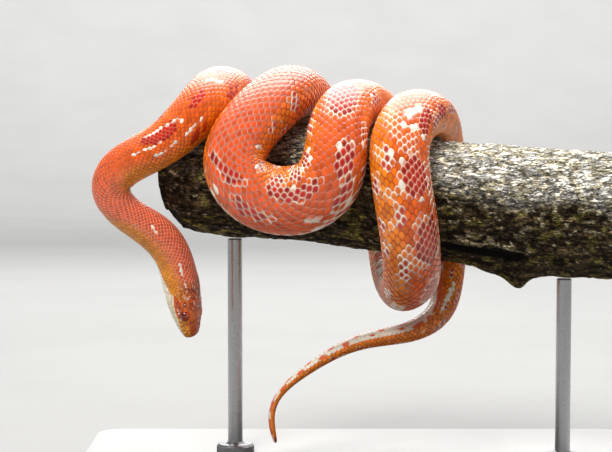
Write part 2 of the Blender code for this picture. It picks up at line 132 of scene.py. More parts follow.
def table(rows: tuple, at: Array, column: int = 1) -> Array:
    """A table's column read with Hermite cubics that don't overshoot.

    The slope at a row is the mean slope round it, and nought at a peak or dip.

    Args:
        rows: the table, each row's place first.
        at: where it is read.
        column: which number of a row is read.

    Returns:
        One number for each place in at.
    """
    keys = np.array([row[0] for row in rows], float)
    vals = np.array([row[column] for row in rows], float)
    at = np.clip(np.asarray(at, float), keys[0], keys[-1])
    slope = np.gradient(vals, keys)
    step = np.diff(vals) / np.diff(keys)
    slope[1:-1] = np.where(step[:-1] * step[1:] <= 0, 0, slope[1:-1])
    i = np.clip(np.searchsorted(keys, at, side="right") - 1, 0, len(keys) - 2)
    h = keys[i + 1] - keys[i]
    a = (at - keys[i]) / h
    return ((1 + 2 * a) * (1 - a) ** 2 * vals[i] + a * (1 - a) ** 2 * h * slope[i]
            + a * a * (3 - 2 * a) * vals[i + 1] + a * a * (a - 1) * h * slope[i + 1])


def unit(v: Array) -> Array:
    """Vectors of v divided by their lengths."""
    return v / np.maximum(np.linalg.norm(v, axis=-1, keepdims=True), 1e-9)


def ramp(x: Array, low: float, high: float) -> Array:
    """Smooth step from 0 at low to 1 at high, 3t^2 - 2t^3 between them."""
    t = np.clip((np.asarray(x, float) - low) / (high - low), 0, 1)
    return t * t * (3 - 2 * t)


def bump(x: Array, centre: float, spread: float) -> Array:
    """Bell curve exp(-((x - centre) / spread)^2)."""
    return np.exp(-((x - centre) / spread) ** 2)


def edge_at(x: Array, at: float, width: float) -> Array:
    """Soft edge 1 / (1 + exp(-(x - at) / width)): 0 before it and 1 past it."""
    return 1 / (1 + np.exp(-(x - at) / width))


def layered(base: Array, *coats: tuple[Array, Array]) -> Array:
    """Colours with others laid over them in turn.

    Args:
        base: the colours to begin with.
        coats: pairs of a colour and its share at each place, 0 to 1.

    Returns:
        Linear red, green and blue of each place.
    """
    for colour, share in coats:
        base = base + (np.asarray(colour) - base) * np.asarray(share)[..., None]
    return base


def running(steps: Array) -> Array:
    """Running sums of steps along the last axis, from 0."""
    return np.concatenate([np.zeros_like(steps[..., :1]), np.cumsum(steps, axis=-1)], axis=-1)


def run_along(points: Array) -> Array:
    """Length from the first point of each row of points to every other one."""
    return running(np.linalg.norm(np.diff(points, axis=-2), axis=-1))


def read_along(at: Array, keys: Array, points: Array) -> Array:
    """Points read at places between their keys, straight from one to the next."""
    return np.stack([np.interp(at, keys, column) for column in points.T], axis=-1)


def by_row(at: Array, keys: Array, values: Array) -> Array:
    """Rows of values read at each row's own places."""
    return np.array([np.interp(*row) for row in zip(at, keys, values)])


def blend(a: Array, b: Array, share: Array) -> Array:
    """Colours a and b mixed by the share of b at each place."""
    return layered(np.asarray(a), (b, share))


def cloud(u: Array, v: Array, cells: tuple[int, int], seed: int, layers: int = 1) -> Array:
    """Soft noise from 0 to 1 that repeats each whole step of u and of v.

    Seeded numbers at a lattice's corners are mixed by 3t^2 - 2t^3 across each
    cell. Each further layer has twice the cells and half the weight.

    Args:
        u: first coordinate.
        v: second coordinate.
        cells: lattice cells in a whole step of u and of v.
        seed: which set of numbers.
        layers: how many lattices are added.

    Returns:
        The noise, in the shape of u and v together.
    """
    total, weight, whole = 0.0, 1.0, 0.0
    for layer in range(layers):
        across, down = cells[0] * 2 ** layer, cells[1] * 2 ** layer
        grid = np.random.default_rng(seed + 101 * layer).random((across, down))
        a, b = np.asarray(u) * across, np.asarray(v) * down
        i, j = np.floor(a).astype(int), np.floor(b).astype(int)
        x, y = ramp(a - i, 0, 1), ramp(b - j, 0, 1)
        near = grid[i % across, j % down] * (1 - y) + grid[i % across, (j + 1) % down] * y
        far = grid[(i + 1) % across, j % down] * (1 - y) + grid[(i + 1) % across, (j + 1) % down] * y
        total = total + weight * (near * (1 - x) + far * x)
        whole += weight
        weight /= 2
    return total / whole


# Mesh making

def write_mesh(name: str, points: Array, polygons: list[Array], tones: Array | None = None,
               corner_uv: Array | None = None) -> Object:
    """A smooth object from whole arrays.

    Args:
        name: the piece's name.
        points: its points in millimetres, one row each.
        polygons: arrays of point numbers, each of faces of one size.
        tones: red, green and blue of each point.
        corner_uv: place of each face corner on the piece's unwrap.

    Returns:
        The new object, at the origin.
    """
    mesh = bpy.data.meshes.new(name)
    corners = np.concatenate([p.ravel() for p in polygons]).astype(np.int32)
    sizes = np.concatenate([np.full(len(p), p.shape[1]) for p in polygons])
    starts = np.concatenate([[0], np.cumsum(sizes)[:-1]]).astype(np.int32)
    mesh.vertices.add(len(points))
    mesh.vertices.foreach_set("co", (points * MM).astype(np.float32).ravel())
    mesh.loops.add(len(corners))
    mesh.loops.foreach_set("vertex_index", corners)
    mesh.polygons.add(len(sizes))
    mesh.polygons.foreach_set("loop_start", starts)
    mesh.update(calc_edges=True)
    mesh.polygons.foreach_set("use_smooth", np.ones(len(sizes), bool))
    if corner_uv is not None:
        layer = mesh.uv_layers.new(name="OFBake")
        layer.uv.foreach_set("vector", corner_uv.astype(np.float32).ravel())
    if tones is not None:
        colour = mesh.color_attributes.new(name="tone", type="FLOAT_COLOR", domain="POINT")
        full = np.concatenate([np.clip(tones, 0, 1), np.ones((len(tones), 1))], axis=1)
        colour.data.foreach_set("color", full.astype(np.float32).ravel())
    mesh.validate()
    piece = bpy.data.objects.new(name, mesh)
    bpy.context.scene.collection.objects.link(piece)
    return piece


def tube_faces(rows: int, columns: int, turned: bool = False) -> list[Array]:
    """Quads of a tube and the fans that close it on two tips.

    Points run round each row in turn, and the tips come last. Quad (r, c)
    joins points c and c + 1 of row r to those of row r + 1, and the last
    column joins the first.

    Args:
        rows: rings of points.
        columns: points in a ring.
        turned: whether the faces look the other way.

    Returns:
        Point numbers of the quads, of the first fan and of the last.
    """
    r, c = np.indices((rows - 1, columns))
    near, far = r * columns + c, r * columns + (c + 1) % columns
    c, tip = np.arange(columns), np.full(columns, rows * columns)
    n, last = (c + 1) % columns, (rows - 1) * columns
    faces = [np.stack([near, far, far + columns, near + columns], axis=-1).reshape(-1, 4),
             np.stack([n, c, tip], axis=-1), np.stack([last + c, last + n, tip + 1], axis=-1)]
    return [face[:, ::-1] for face in faces] if turned else faces


def finish_piece(piece: Object, paint: Material, slot: str, *nodes: str) -> None:
    """Dress a piece, set it on the still body and log it.

    Args:
        piece: the finished object.
        paint: its material.
        slot: the record's material slot; not used.
        nodes: solids that it stands for, if any.
    """
    piece.data.materials.append(paint)
    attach(piece, "root")
    if nodes:
        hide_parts(*nodes)
    triangles = len(piece.data.loops) - 2 * len(piece.data.polygons)
    log.info("%s: %d triangles", piece.name, triangles)


# Shader node helpers

def set_inputs(node: Node, values: dict) -> None:
    """Put plain values on a node's sockets, by name or number."""
    for name, value in values.items():
        node.inputs[name].default_value = value


def add_node(tree: bpy.types.NodeTree, kind: str, values: dict, **settings: object) -> Node:
    """A new node with its own settings and plain values on its sockets."""
    node = tree.nodes.new(kind)
    for name, value in settings.items():
        setattr(node, name, value)
    set_inputs(node, values)
    return node


def grain_group() -> bpy.types.NodeTree:
    """Shared fine grain: layered noise at two sizes, stretched along X.

    Value is the mean of coarse noise and noise three times as fine. Tone is
    that value carried from Dark to Light, for scaling a colour, with Spread
    either side of a half. Crack is 14 |n - 1/2| of the coarse noise n, at most
    1, so thin lines are 0 where the noise crosses a half.

    Returns:
        The node group, built once.
    """
    half, times_finer, crack_slope = 0.5, 3.0, 14.0
    made = bpy.data.node_groups.get("fine_grain")
    if made:
        return made
    made = bpy.data.node_groups.new("fine_grain", "ShaderNodeTree")
    socket = made.interface.new_socket
    socket(name="Vector", in_out="INPUT", socket_type="NodeSocketVector")
    for name, value in (("Scale", 100.0), ("Stretch", 1.0), ("Dark", 0.8), ("Light", 1.2), ("Spread", 0.2)):
        socket(name=name, in_out="INPUT", socket_type="NodeSocketFloat").default_value = value
    for name in ("Value", "Tone", "Crack"):
        socket(name=name, in_out="OUTPUT", socket_type="NodeSocketFloat")
    enter, leave, split, join, carry = (made.nodes.new(kind) for kind in (
        "NodeGroupInput", "NodeGroupOutput", "ShaderNodeSeparateXYZ", "ShaderNodeCombineXYZ",
        "ShaderNodeMapRange"))
    coarse, fine = (add_node(made, "ShaderNodeTexNoise", {"Detail": detail}) for detail in (4.0, 2.0))
    mean = add_node(made, "ShaderNodeMix", {"Factor": half})
    pull, finer, low, high, middle, depth, crack = (
        add_node(made, "ShaderNodeMath", values, operation=operation) for operation, values in (
            ("DIVIDE", {}), ("MULTIPLY", {1: times_finer}), ("SUBTRACT", {0: half}), ("ADD", {0: half}),
            ("SUBTRACT", {1: half}), ("ABSOLUTE", {}), ("MULTIPLY", {1: crack_slope})))
    crack.use_clamp = True
    for source, output, target, entry in (
            (enter, "Vector", split, 0), (split, "X", pull, 0), (enter, "Stretch", pull, 1),
            (pull, 0, join, "X"), (split, "Y", join, "Y"), (split, "Z", join, "Z"),
            (enter, "Scale", coarse, "Scale"), (enter, "Scale", finer, 0), (finer, 0, fine, "Scale"),
            (join, 0, coarse, "Vector"), (join, 0, fine, "Vector"),
            (coarse, "Fac", mean, "A"), (fine, "Fac", mean, "B"),
            (enter, "Spread", low, 1), (enter, "Spread", high, 1),
            (low, 0, carry, "From Min"), (high, 0, carry, "From Max"), (mean, "Result", carry, "Value"),
            (enter, "Dark", carry, "To Min"), (enter, "Light", carry, "To Max"),
            (coarse, "Fac", middle, 0), (middle, 0, depth, 0), (depth, 0, crack, 0),
            (crack, 0, leave, "Crack"), (mean, "Result", leave, "Value"), (carry, "Result", leave, "Tone")):
        made.links.new(source.outputs[output], target.inputs[entry])
    return made


class Paint:
    """A material under construction: a Principled shader and its feeds."""

    def __init__(self, name: str) -> None:
        """Start the material with object coordinates ready."""
        self.made = bpy.data.materials.new(name)
        self.made.use_nodes = True
        self.tree = self.made.node_tree
        self.shader = self.tree.nodes["Principled BSDF"]
        self.place = self.tree.nodes.new("ShaderNodeTexCoord")

    def add(self, kind: str, values: dict, feeds: dict, **settings: object) -> Node:
        """A node with plain values on some sockets and others joined to feeds."""
        node = add_node(self.tree, kind, values, **settings)
        for name, feed in feeds.items():
            self.tree.links.new(feed, node.inputs[name])
        return node

    def feed(self, socket: Socket, name: str) -> None:
        """Join a socket to one of the shader's inputs."""
        self.tree.links.new(socket, self.shader.inputs[name])

    def grain(self, scale: float, stretch: float = 1.0, dark: float = 0.8,
              light: float = 1.2, spread: float = 0.2) -> Node:
        """The shared grain with this material's own values.

        Args:
            scale: waves a metre.
            stretch: how much longer the grain is along X.
            dark: lowest factor of its Tone.
            light: highest factor of its Tone.
            spread: how far either side of a half the Tone still changes.

        Returns:
            The group node.
        """
        values = {"Scale": scale, "Stretch": stretch, "Dark": dark, "Light": light, "Spread": spread}
        return self.add("ShaderNodeGroup", values, {"Vector": self.place.outputs["Object"]},
                        node_tree=grain_group())

    def toned(self, factor: Socket) -> Socket:
        """The mesh's own colours times a factor."""
        own = self.add("ShaderNodeAttribute", {}, {}, attribute_name="tone")
        return self.scaled(own.outputs["Color"], factor)

    def scaled(self, colour: Socket, factor: Socket) -> Socket:
        """A colour made lighter or darker by a factor."""
        feeds = {0: colour, "Scale": factor}
        return self.add("ShaderNodeVectorMath", {}, feeds, operation="SCALE").outputs[0]

    def between(self, factor: Socket, low: Colour, high: Colour) -> Socket:
        """A colour carried from low to high by a factor."""
        ends = {"A": (*low, 1.0), "B": (*high, 1.0)}
        return self.add("ShaderNodeMix", ends, {"Factor": factor}, data_type="RGBA").outputs["Result"]

    def carried(self, value: Socket, low: float, high: float, start: float = 0.3,
                end: float = 0.7) -> Socket:
        """A value from start to end carried to low to high."""
        ends = {"From Min": start, "From Max": end, "To Min": low, "To Max": high}
        return self.add("ShaderNodeMapRange", ends, {"Value": value}).outputs["Result"]

    def raised(self, height: Socket, strength: float, distance: float) -> None:
        """Feed a height to the shader's normal through a Bump node."""
        node = self.add("ShaderNodeBump", {"Strength": strength, "Distance": distance}, {"Height": height})
        self.feed(node.outputs["Normal"], "Normal")


# Finishes

@dataclass(frozen=True)
class Finish:
    """A material under fine grain, coloured by its mesh or by two colours of its own.

    The grain is its scale, stretch and Tone's ends. A second, wide grain can
    take over the colour and the gloss. Rough is the range of the roughness,
    relief the height's strength and distance, and plain what stays fixed.
    """

    name: str
    grain: tuple[float, ...]
    rough: tuple[float, ...] = ()
    relief: tuple[float, ...] = ()
    colours: tuple[Colour, ...] = ()
    wide: float = 0.0
    plain: dict = field(default_factory=dict)

    def material(self) -> Material:
        """The finished material."""
        paint = Paint(self.name)
        grain = paint.grain(*self.grain)
        wide = (paint.grain(self.wide) if self.wide else grain).outputs["Value"]
        tone = paint.between(wide, *self.colours) if self.colours else paint.toned(grain.outputs["Tone"])
        paint.feed(tone, "Base Color")
        if self.rough:
            paint.feed(paint.carried(wide, *self.rough), "Roughness")
        if self.relief:
            paint.raised(grain.outputs["Value"], *self.relief)
        set_inputs(paint.shader, self.plain)
        return paint.made


class BarkFinish(Finish):
    """Weathered bark: furrow colours times long grain, and thin cracks darkened as painted shade in the
    crevices.
    """

    def material(self) -> Material:
        """The finished material, with a fibrous height."""
        paint = Paint(self.name)
        grain = paint.grain(*self.grain)
        lines = paint.grain(430.0, 3.4, 0.80, 1.50, 0.07)
        tone = paint.toned(lines.outputs["Tone"])
        # Thin cracks darkened down to a tenth: painted shade in the crevices.
        tone = paint.scaled(tone, paint.carried(lines.outputs["Crack"], 0.10, 1.0, 0.0, 0.9))
        paint.feed(paint.scaled(tone, grain.outputs["Tone"]), "Base Color")
        paint.feed(paint.carried(grain.outputs["Value"], *self.rough), "Roughness")
        paint.raised(grain.outputs["Tone"], *self.relief)
        set_inputs(paint.shader, self.plain)
        return paint.made


def horn(name: str, rough: tuple[float, float] = (0.30, 0.44), coat: float = 0.20,
         size: float = 420.0) -> Material:
    """Horny, glossy scales coloured by the markings on the mesh.

    Args:
        name: the material's name.
        rough: range of its roughness.
        coat: weight of the clear coat.
        size: waves a metre of its grain.

    Returns:
        The material.
    """
    gloss = {"Coat Weight": coat, "Coat Roughness": 0.22, "IOR": 1.48, "Specular IOR Level": 0.62}
    return Finish(name, (size, 1.0, 0.88, 1.10), rough, (0.35, 0.00004), plain=gloss).material()


EYE = Finish("ruby_eye", (1500.0, 1.0, 0.85, 1.15), (0.06, 0.12),
             plain={"Coat Weight": 1.0, "Coat Roughness": 0.03, "IOR": 1.45})
BARK = BarkFinish("weathered_bark", (820.0, 3.2, 0.35, 1.90, 0.07), (0.75, 0.98), (1.0, 0.0006),
                  plain={"Specular IOR Level": 0.2})
SATIN = Finish("satin_paint", (320.0,), (0.36, 0.46), (0.2, 0.00005),
               ((0.40, 0.395, 0.38), (0.46, 0.455, 0.44)), wide=14.0)
STEEL = Finish("brushed_bare_steel", (900.0, 12.0), (0.24, 0.38), (0.25, 0.00003),
               ((0.46, 0.46, 0.47), (0.60, 0.60, 0.61)), plain={"Metallic": 1.0})
FLOOR = Finish("pale_floor", (3.0, 1.0, 0.96, 1.04), plain={"Roughness": 0.9})


# The branch

@dataclass
class Perch:
    """Short cut branch with a broken slanting left end and a sawn right end.

    A station is x, y and z of the axis and the bark's radius there.
    """

    stations: tuple = (
        (-102.9, 9.5, 142.7, 29.3), (-30.8, -1.5, 138.3, 28.9), (34.8, -11.5, 130.1, 29),
        (85.3, -19, 124.9, 29.6), (125.8, -25.5, 123, 29.8),
    )
    left_end: float = -97.6
    slant: float = 15.5
    right_end: float = 128.5
    rods: tuple[float, float] = (-62.0, 92.0)
    rod_reach: float = 7.0
    girth: float = 29.0
    ragged_depth: float = 2.6
    rows: int = 400
    columns: int = 210
    cap_rings: tuple = (0.92, 0.80, 0.66, 0.52, 0.38, 0.24, 0.12)

    def at(self, x: Array) -> tuple[Array, Array, Array]:
        """Depth and height of the axis, and the bark's radius, at each x."""
        rows = np.array(self.stations)
        x = np.clip(np.atleast_1d(x), rows[0, 0], rows[-1, 0] + 4)
        read = spline(rows[:, 0], rows[:, 1:], x.ravel()).reshape(x.shape + (3,))
        return read[..., 0], read[..., 1], read[..., 2]

    def furrows(self, x: Array, turn: Array) -> Array:
        """Main relief: three wavy sets of furrows, a crack, a ledge, a crest and a knot.

        Furrows are powers of raised sines that run along the branch and wander
        round it. They fade out where a rod meets the underside.

        Args:
            x: place along the branch.
            turn: turn round it in radians, 0 in front and a quarter on top.

        Returns:
            Height over the plain radius.
        """
        relief = -0.9 * (0.5 + 0.5 * np.sin(11 * turn + 0.9 * np.sin(0.045 * x + 1) + 0.02 * x)) ** 3
        relief -= 0.5 * (0.5 + 0.5 * np.sin(17 * turn - 1.1 * np.sin(0.07 * x) + 2)) ** 2
        relief -= 0.35 * (0.5 + 0.5 * np.sin(0.16 * x + 2.5 * np.sin(2 * turn))) ** 2
        low = self.degrees(turn)
        ledge = bump(low, -78, 16) * edge_at(x, 52, 2) * edge_at(x, 82, -2)
        crest = bump(low, 90, 38) * edge_at(x, 56, 4)
        knot = bump(x, 71, np.where(x < 71, 6.5, 3.8)) * bump(low, -84, 9)
        open_bark = (relief - 2.2 * self.hollow(x, turn)) * self.seat(x, turn)
        return open_bark + 2.8 * ledge + 0.8 * crest + 5.6 * knot

    @staticmethod
    def degrees(turn: Array) -> Array:
        """A turn in degrees from -180 to 180."""
        return np.degrees(np.arctan2(np.sin(turn), np.cos(turn)))

    @staticmethod
    def sheet(x: Array, turn: Array) -> tuple[Array, Array]:
        """The bark's noise coordinates: from 0 to 1 along the branch and round it."""
        return (x + 140) / 300, turn / (2 * math.pi)

    def hollow(self, x: Array, turn: Array) -> Array:
        """Mask of the rotten slot low in front: a ridge in turn, cut off at both ends in x."""
        ridge = bump(self.degrees(turn), -47 - 0.10 * (x - 50), 5.0 + 0.08 * (x - 36))
        return ridge * edge_at(x, 33, 2) * edge_at(x, 71, -1)

    def seat(self, x: Array, turn: Array) -> Array:
        """1 on open bark, falling to 0 where a rod meets the underside."""
        seat = np.ones(np.broadcast(x, turn).shape)
        for place in self.rods:
            near = ((x - place) / self.rod_reach) ** 2 + (self.girth * np.cos(turn) / self.rod_reach) ** 2
            seat = np.where(np.sin(turn) < 0, seat * (1 - np.exp(-near ** 2)), seat)
        return seat

    def plates(self, x: Array, turn: Array) -> tuple[Array, Array]:
        """Fine bark plates: ridged noise stretched along the branch.

        A ridge is 1 - |2n - 1| of the noise n, so a thin valley runs where the
        noise crosses one half.

        Args:
            x: place along the branch.
            turn: turn round it in radians.

        Returns:
            How deep each place lies in a valley, and flaky noise, from 0 to 1.
        """
        u, v = self.sheet(x, turn)
        v = v + 0.02 * (cloud(u, v, (9, 5), 3, 2) - 0.5)
        ridge = 1 - np.abs(2 * cloud(u, v, (19, 40), 11, 2) - 1)
        small = 1 - np.abs(2 * cloud(u, v, (74, 110), 21, 2) - 1)
        flaky = cloud(u, v, (66, 84), 31, 3)
        return np.clip(0.60 * ridge ** 6 + 0.55 * small ** 4, 0, 1), flaky

    def colours(self, x: Array, turn: Array, depth: Array, flaky: Array) -> Array:
        """Bark colours: painted shade in the furrows, stronger underneath, pale ash on top that is partly
        weathered bark and partly painted light from above, and a little lichen.

        Args:
            x: place along the branch.
            turn: turn round it in radians.
            depth: how deep each place lies, 0 to 1.
            flaky: flaky noise, 0 to 1.

        Returns:
            Linear red, green and blue.
        """
        u, v = self.sheet(x, turn)
        up = np.sin(turn)
        # Pale ash on the top: partly weathered bark, partly painted light from above; the pale flecks lean
        # to the top for the same reason.
        ash_and_top_light = ramp(up + 0.60 * (cloud(u, v, (13, 11), 41, 3) - 0.5), 0.05, 0.60)
        ash_and_top_light = ash_and_top_light * (0.45 + 0.55 * ramp(x, -60, 30)) * (0.85 + 0.15 * ramp(flaky, 0.30, 0.48))
        pale = ramp(cloud(u, v, (110, 118), 51, 2) + 0.20 * up, 0.60, 0.70)
        lichen = ramp(cloud(u, v, (60, 50), 61, 2) - 0.05 * up, 0.60, 0.72)
        lip = self.hollow(x, turn - 0.24) * ramp(flaky, 0.42, 0.52)
        return layered(
            np.array([0.030, 0.018, 0.008]),
            ((0.135, 0.092, 0.045), ramp(flaky, 0.38, 0.62)),
            ((0.90, 0.86, 0.76), 0.97 * ash_and_top_light),
            ((0.62, 0.53, 0.34), 0.85 * pale),
            ((0.30, 0.25, 0.060), 0.7 * lichen * ramp(up, 0.65, 0.1)),
            # Painted shade in the furrows, valleys and ragged ends, weaker on the top.
            ((0.010, 0.006, 0.004), np.clip((1.20 - 0.78 * ramp(up, 0.2, 0.7)) * depth, 0, 1)),
            ((0.52, 0.42, 0.26), 0.8 * lip),
            # Near black in the rotten slot: painted shade in the hollow.
            ((0.003, 0.002, 0.001), ramp(self.hollow(x, turn), 0.18, 0.50)))

    def build(self, paint: Material) -> None:
        """Tube of bark rows with rounded rims and end grain, closed at both ends.

        Row i lies at x = left(turn) (1 - a) + right a, and a point there at
        axis + r (-cos turn, sin turn), with r the radius plus the relief.

        Args:
            paint: the bark material.
        """
        turn = np.linspace(0, 2 * math.pi, self.columns, endpoint=False)[None, :]
        left = self.left_end + self.slant * (1 - np.cos(turn))
        share = np.linspace(0, 1, self.rows)[:, None]
        x = (left + 0.8) * (1 - share) + (self.right_end - 0.4) * share
        valley, flaky = self.plates(x, turn)
        main = self.furrows(x, turn)
        ends = ramp(x - left, 0.5, 9.0)
        rags = 0.4 + cloud(x / 60, turn / (2 * math.pi), (9, 40), 71, 2)
        ragged = self.ragged_depth * (1 - ends) * rags
        fine = -(1.05 * valley + 0.45 * (1 - flaky)) * self.seat(x, turn)
        height = main + fine - ragged - 0.9 * ramp(x, self.right_end - 1.6, self.right_end)
        y, z, r = self.at(x)
        deep_furrow = 0.55 * ramp(-main, 0.5, 2.2)
        # How deep each place lies; the colours turn it into painted shade.
        depth = np.clip(0.55 * valley + deep_furrow + 0.5 * ragged / self.ragged_depth, 0, 1)
        tone = self.colours(x, turn + 0 * x, depth, flaky)
        tube = np.stack([x, y - (r + height) * np.cos(turn), z + (r + height) * np.sin(turn)], axis=-1)
        caps, cap_tones = [], []
        for row, end, sawn in ((0, left, False), (-1, np.full_like(left, self.right_end), True)):
            rim = tube[row]
            middle = rim.mean(axis=0)
            middle[0] = end.mean()
            for reach in self.cap_rings:
                ring = middle + (rim - middle) * reach
                rough = cloud(np.full_like(turn, reach), turn / (2 * math.pi), (9, 30), 81, 3)[0] - 0.5
                ring[:, 0] = middle[0] + (end[0] - middle[0]) * reach + (0 if sawn else 2.4 * rough + 0.8)
                rings = 0.5 + 0.5 * np.sin(58 * reach + 2.0 * rough)
                pale = blend((0.24, 0.15, 0.075), (0.42, 0.30, 0.17), rings)
                dark = blend((0.045, 0.028, 0.014), (0.13, 0.09, 0.05), rings * (0.5 + rough))
                caps.append(ring)
                cap_tones.append(pale if sawn else dark)
        count = len(self.cap_rings)
        points = np.concatenate([*caps[count - 1::-1], tube.reshape(-1, 3), *caps[count:]])
        tones = np.concatenate([*cap_tones[count - 1::-1], tone.reshape(-1, 3), *cap_tones[count:]])
        total = self.rows + 2 * count
        tips = [points[:self.columns].mean(axis=0), points[-self.columns:].mean(axis=0)]
        points = np.concatenate([points, np.array(tips)])
        tones = np.concatenate([tones, tones[:1], tones[-2:-1]])
        faces = tube_faces(total, self.columns, True)
        piece = write_mesh("bark_and_wood", points, faces, tones, self.unwrap(total, count))
        finish_piece(piece, paint, "bark", "branch")

    def unwrap(self, total: int, count: int) -> Array:
        """Flat places: the tube as one sheet, each end as a disc beside it.

        Args:
            total: rows of points in all.
            count: rows of one end.

        Returns:
            One place for each face corner, in the order of the faces.
        """
        r, c = np.indices((total - 1, self.columns))
        rows = np.stack([r + 1, r + 1, r, r], axis=-1).reshape(-1, 4)
        cols = np.stack([c, c + 1, c + 1, c], axis=-1).reshape(-1, 4)
        sheet = np.stack([(rows - count) / (self.rows - 1), 0.66 * cols / self.columns], axis=-1)
        inner = np.array(self.cap_rings)
        reach = np.concatenate([inner[::-1], np.ones(self.rows), inner])[np.clip(rows, 0, total - 1)]
        face = rows.min(axis=1)[:, None, None]
        tube = np.where(face < count, self.disc(reach, cols, 0),
                        np.where(face >= count + self.rows - 1, self.disc(reach, cols, 1), sheet))
        uv = [tube.reshape(-1, 2)]
        c = np.arange(self.columns)
        reach = np.array([0.0, inner[-1], inner[-1]])
        for end, ring in enumerate(((c, c + 1), (c + 1, c))):
            uv.append(self.disc(reach, np.stack([0 * c, *ring], axis=-1), end).reshape(-1, 2))
        return np.concatenate(uv)

    def disc(self, reach: Array, column: Array, end: int) -> Array:
        """Places on the unwrap's disc of one end, at a share of its radius."""
        turn = 2 * math.pi * column / self.columns
        return np.stack([0.2 + 0.4 * end + 0.15 * reach * np.cos(turn), 0.83 + 0.15 * reach * np.sin(turn)],
                        axis=-1)


# The snake's form

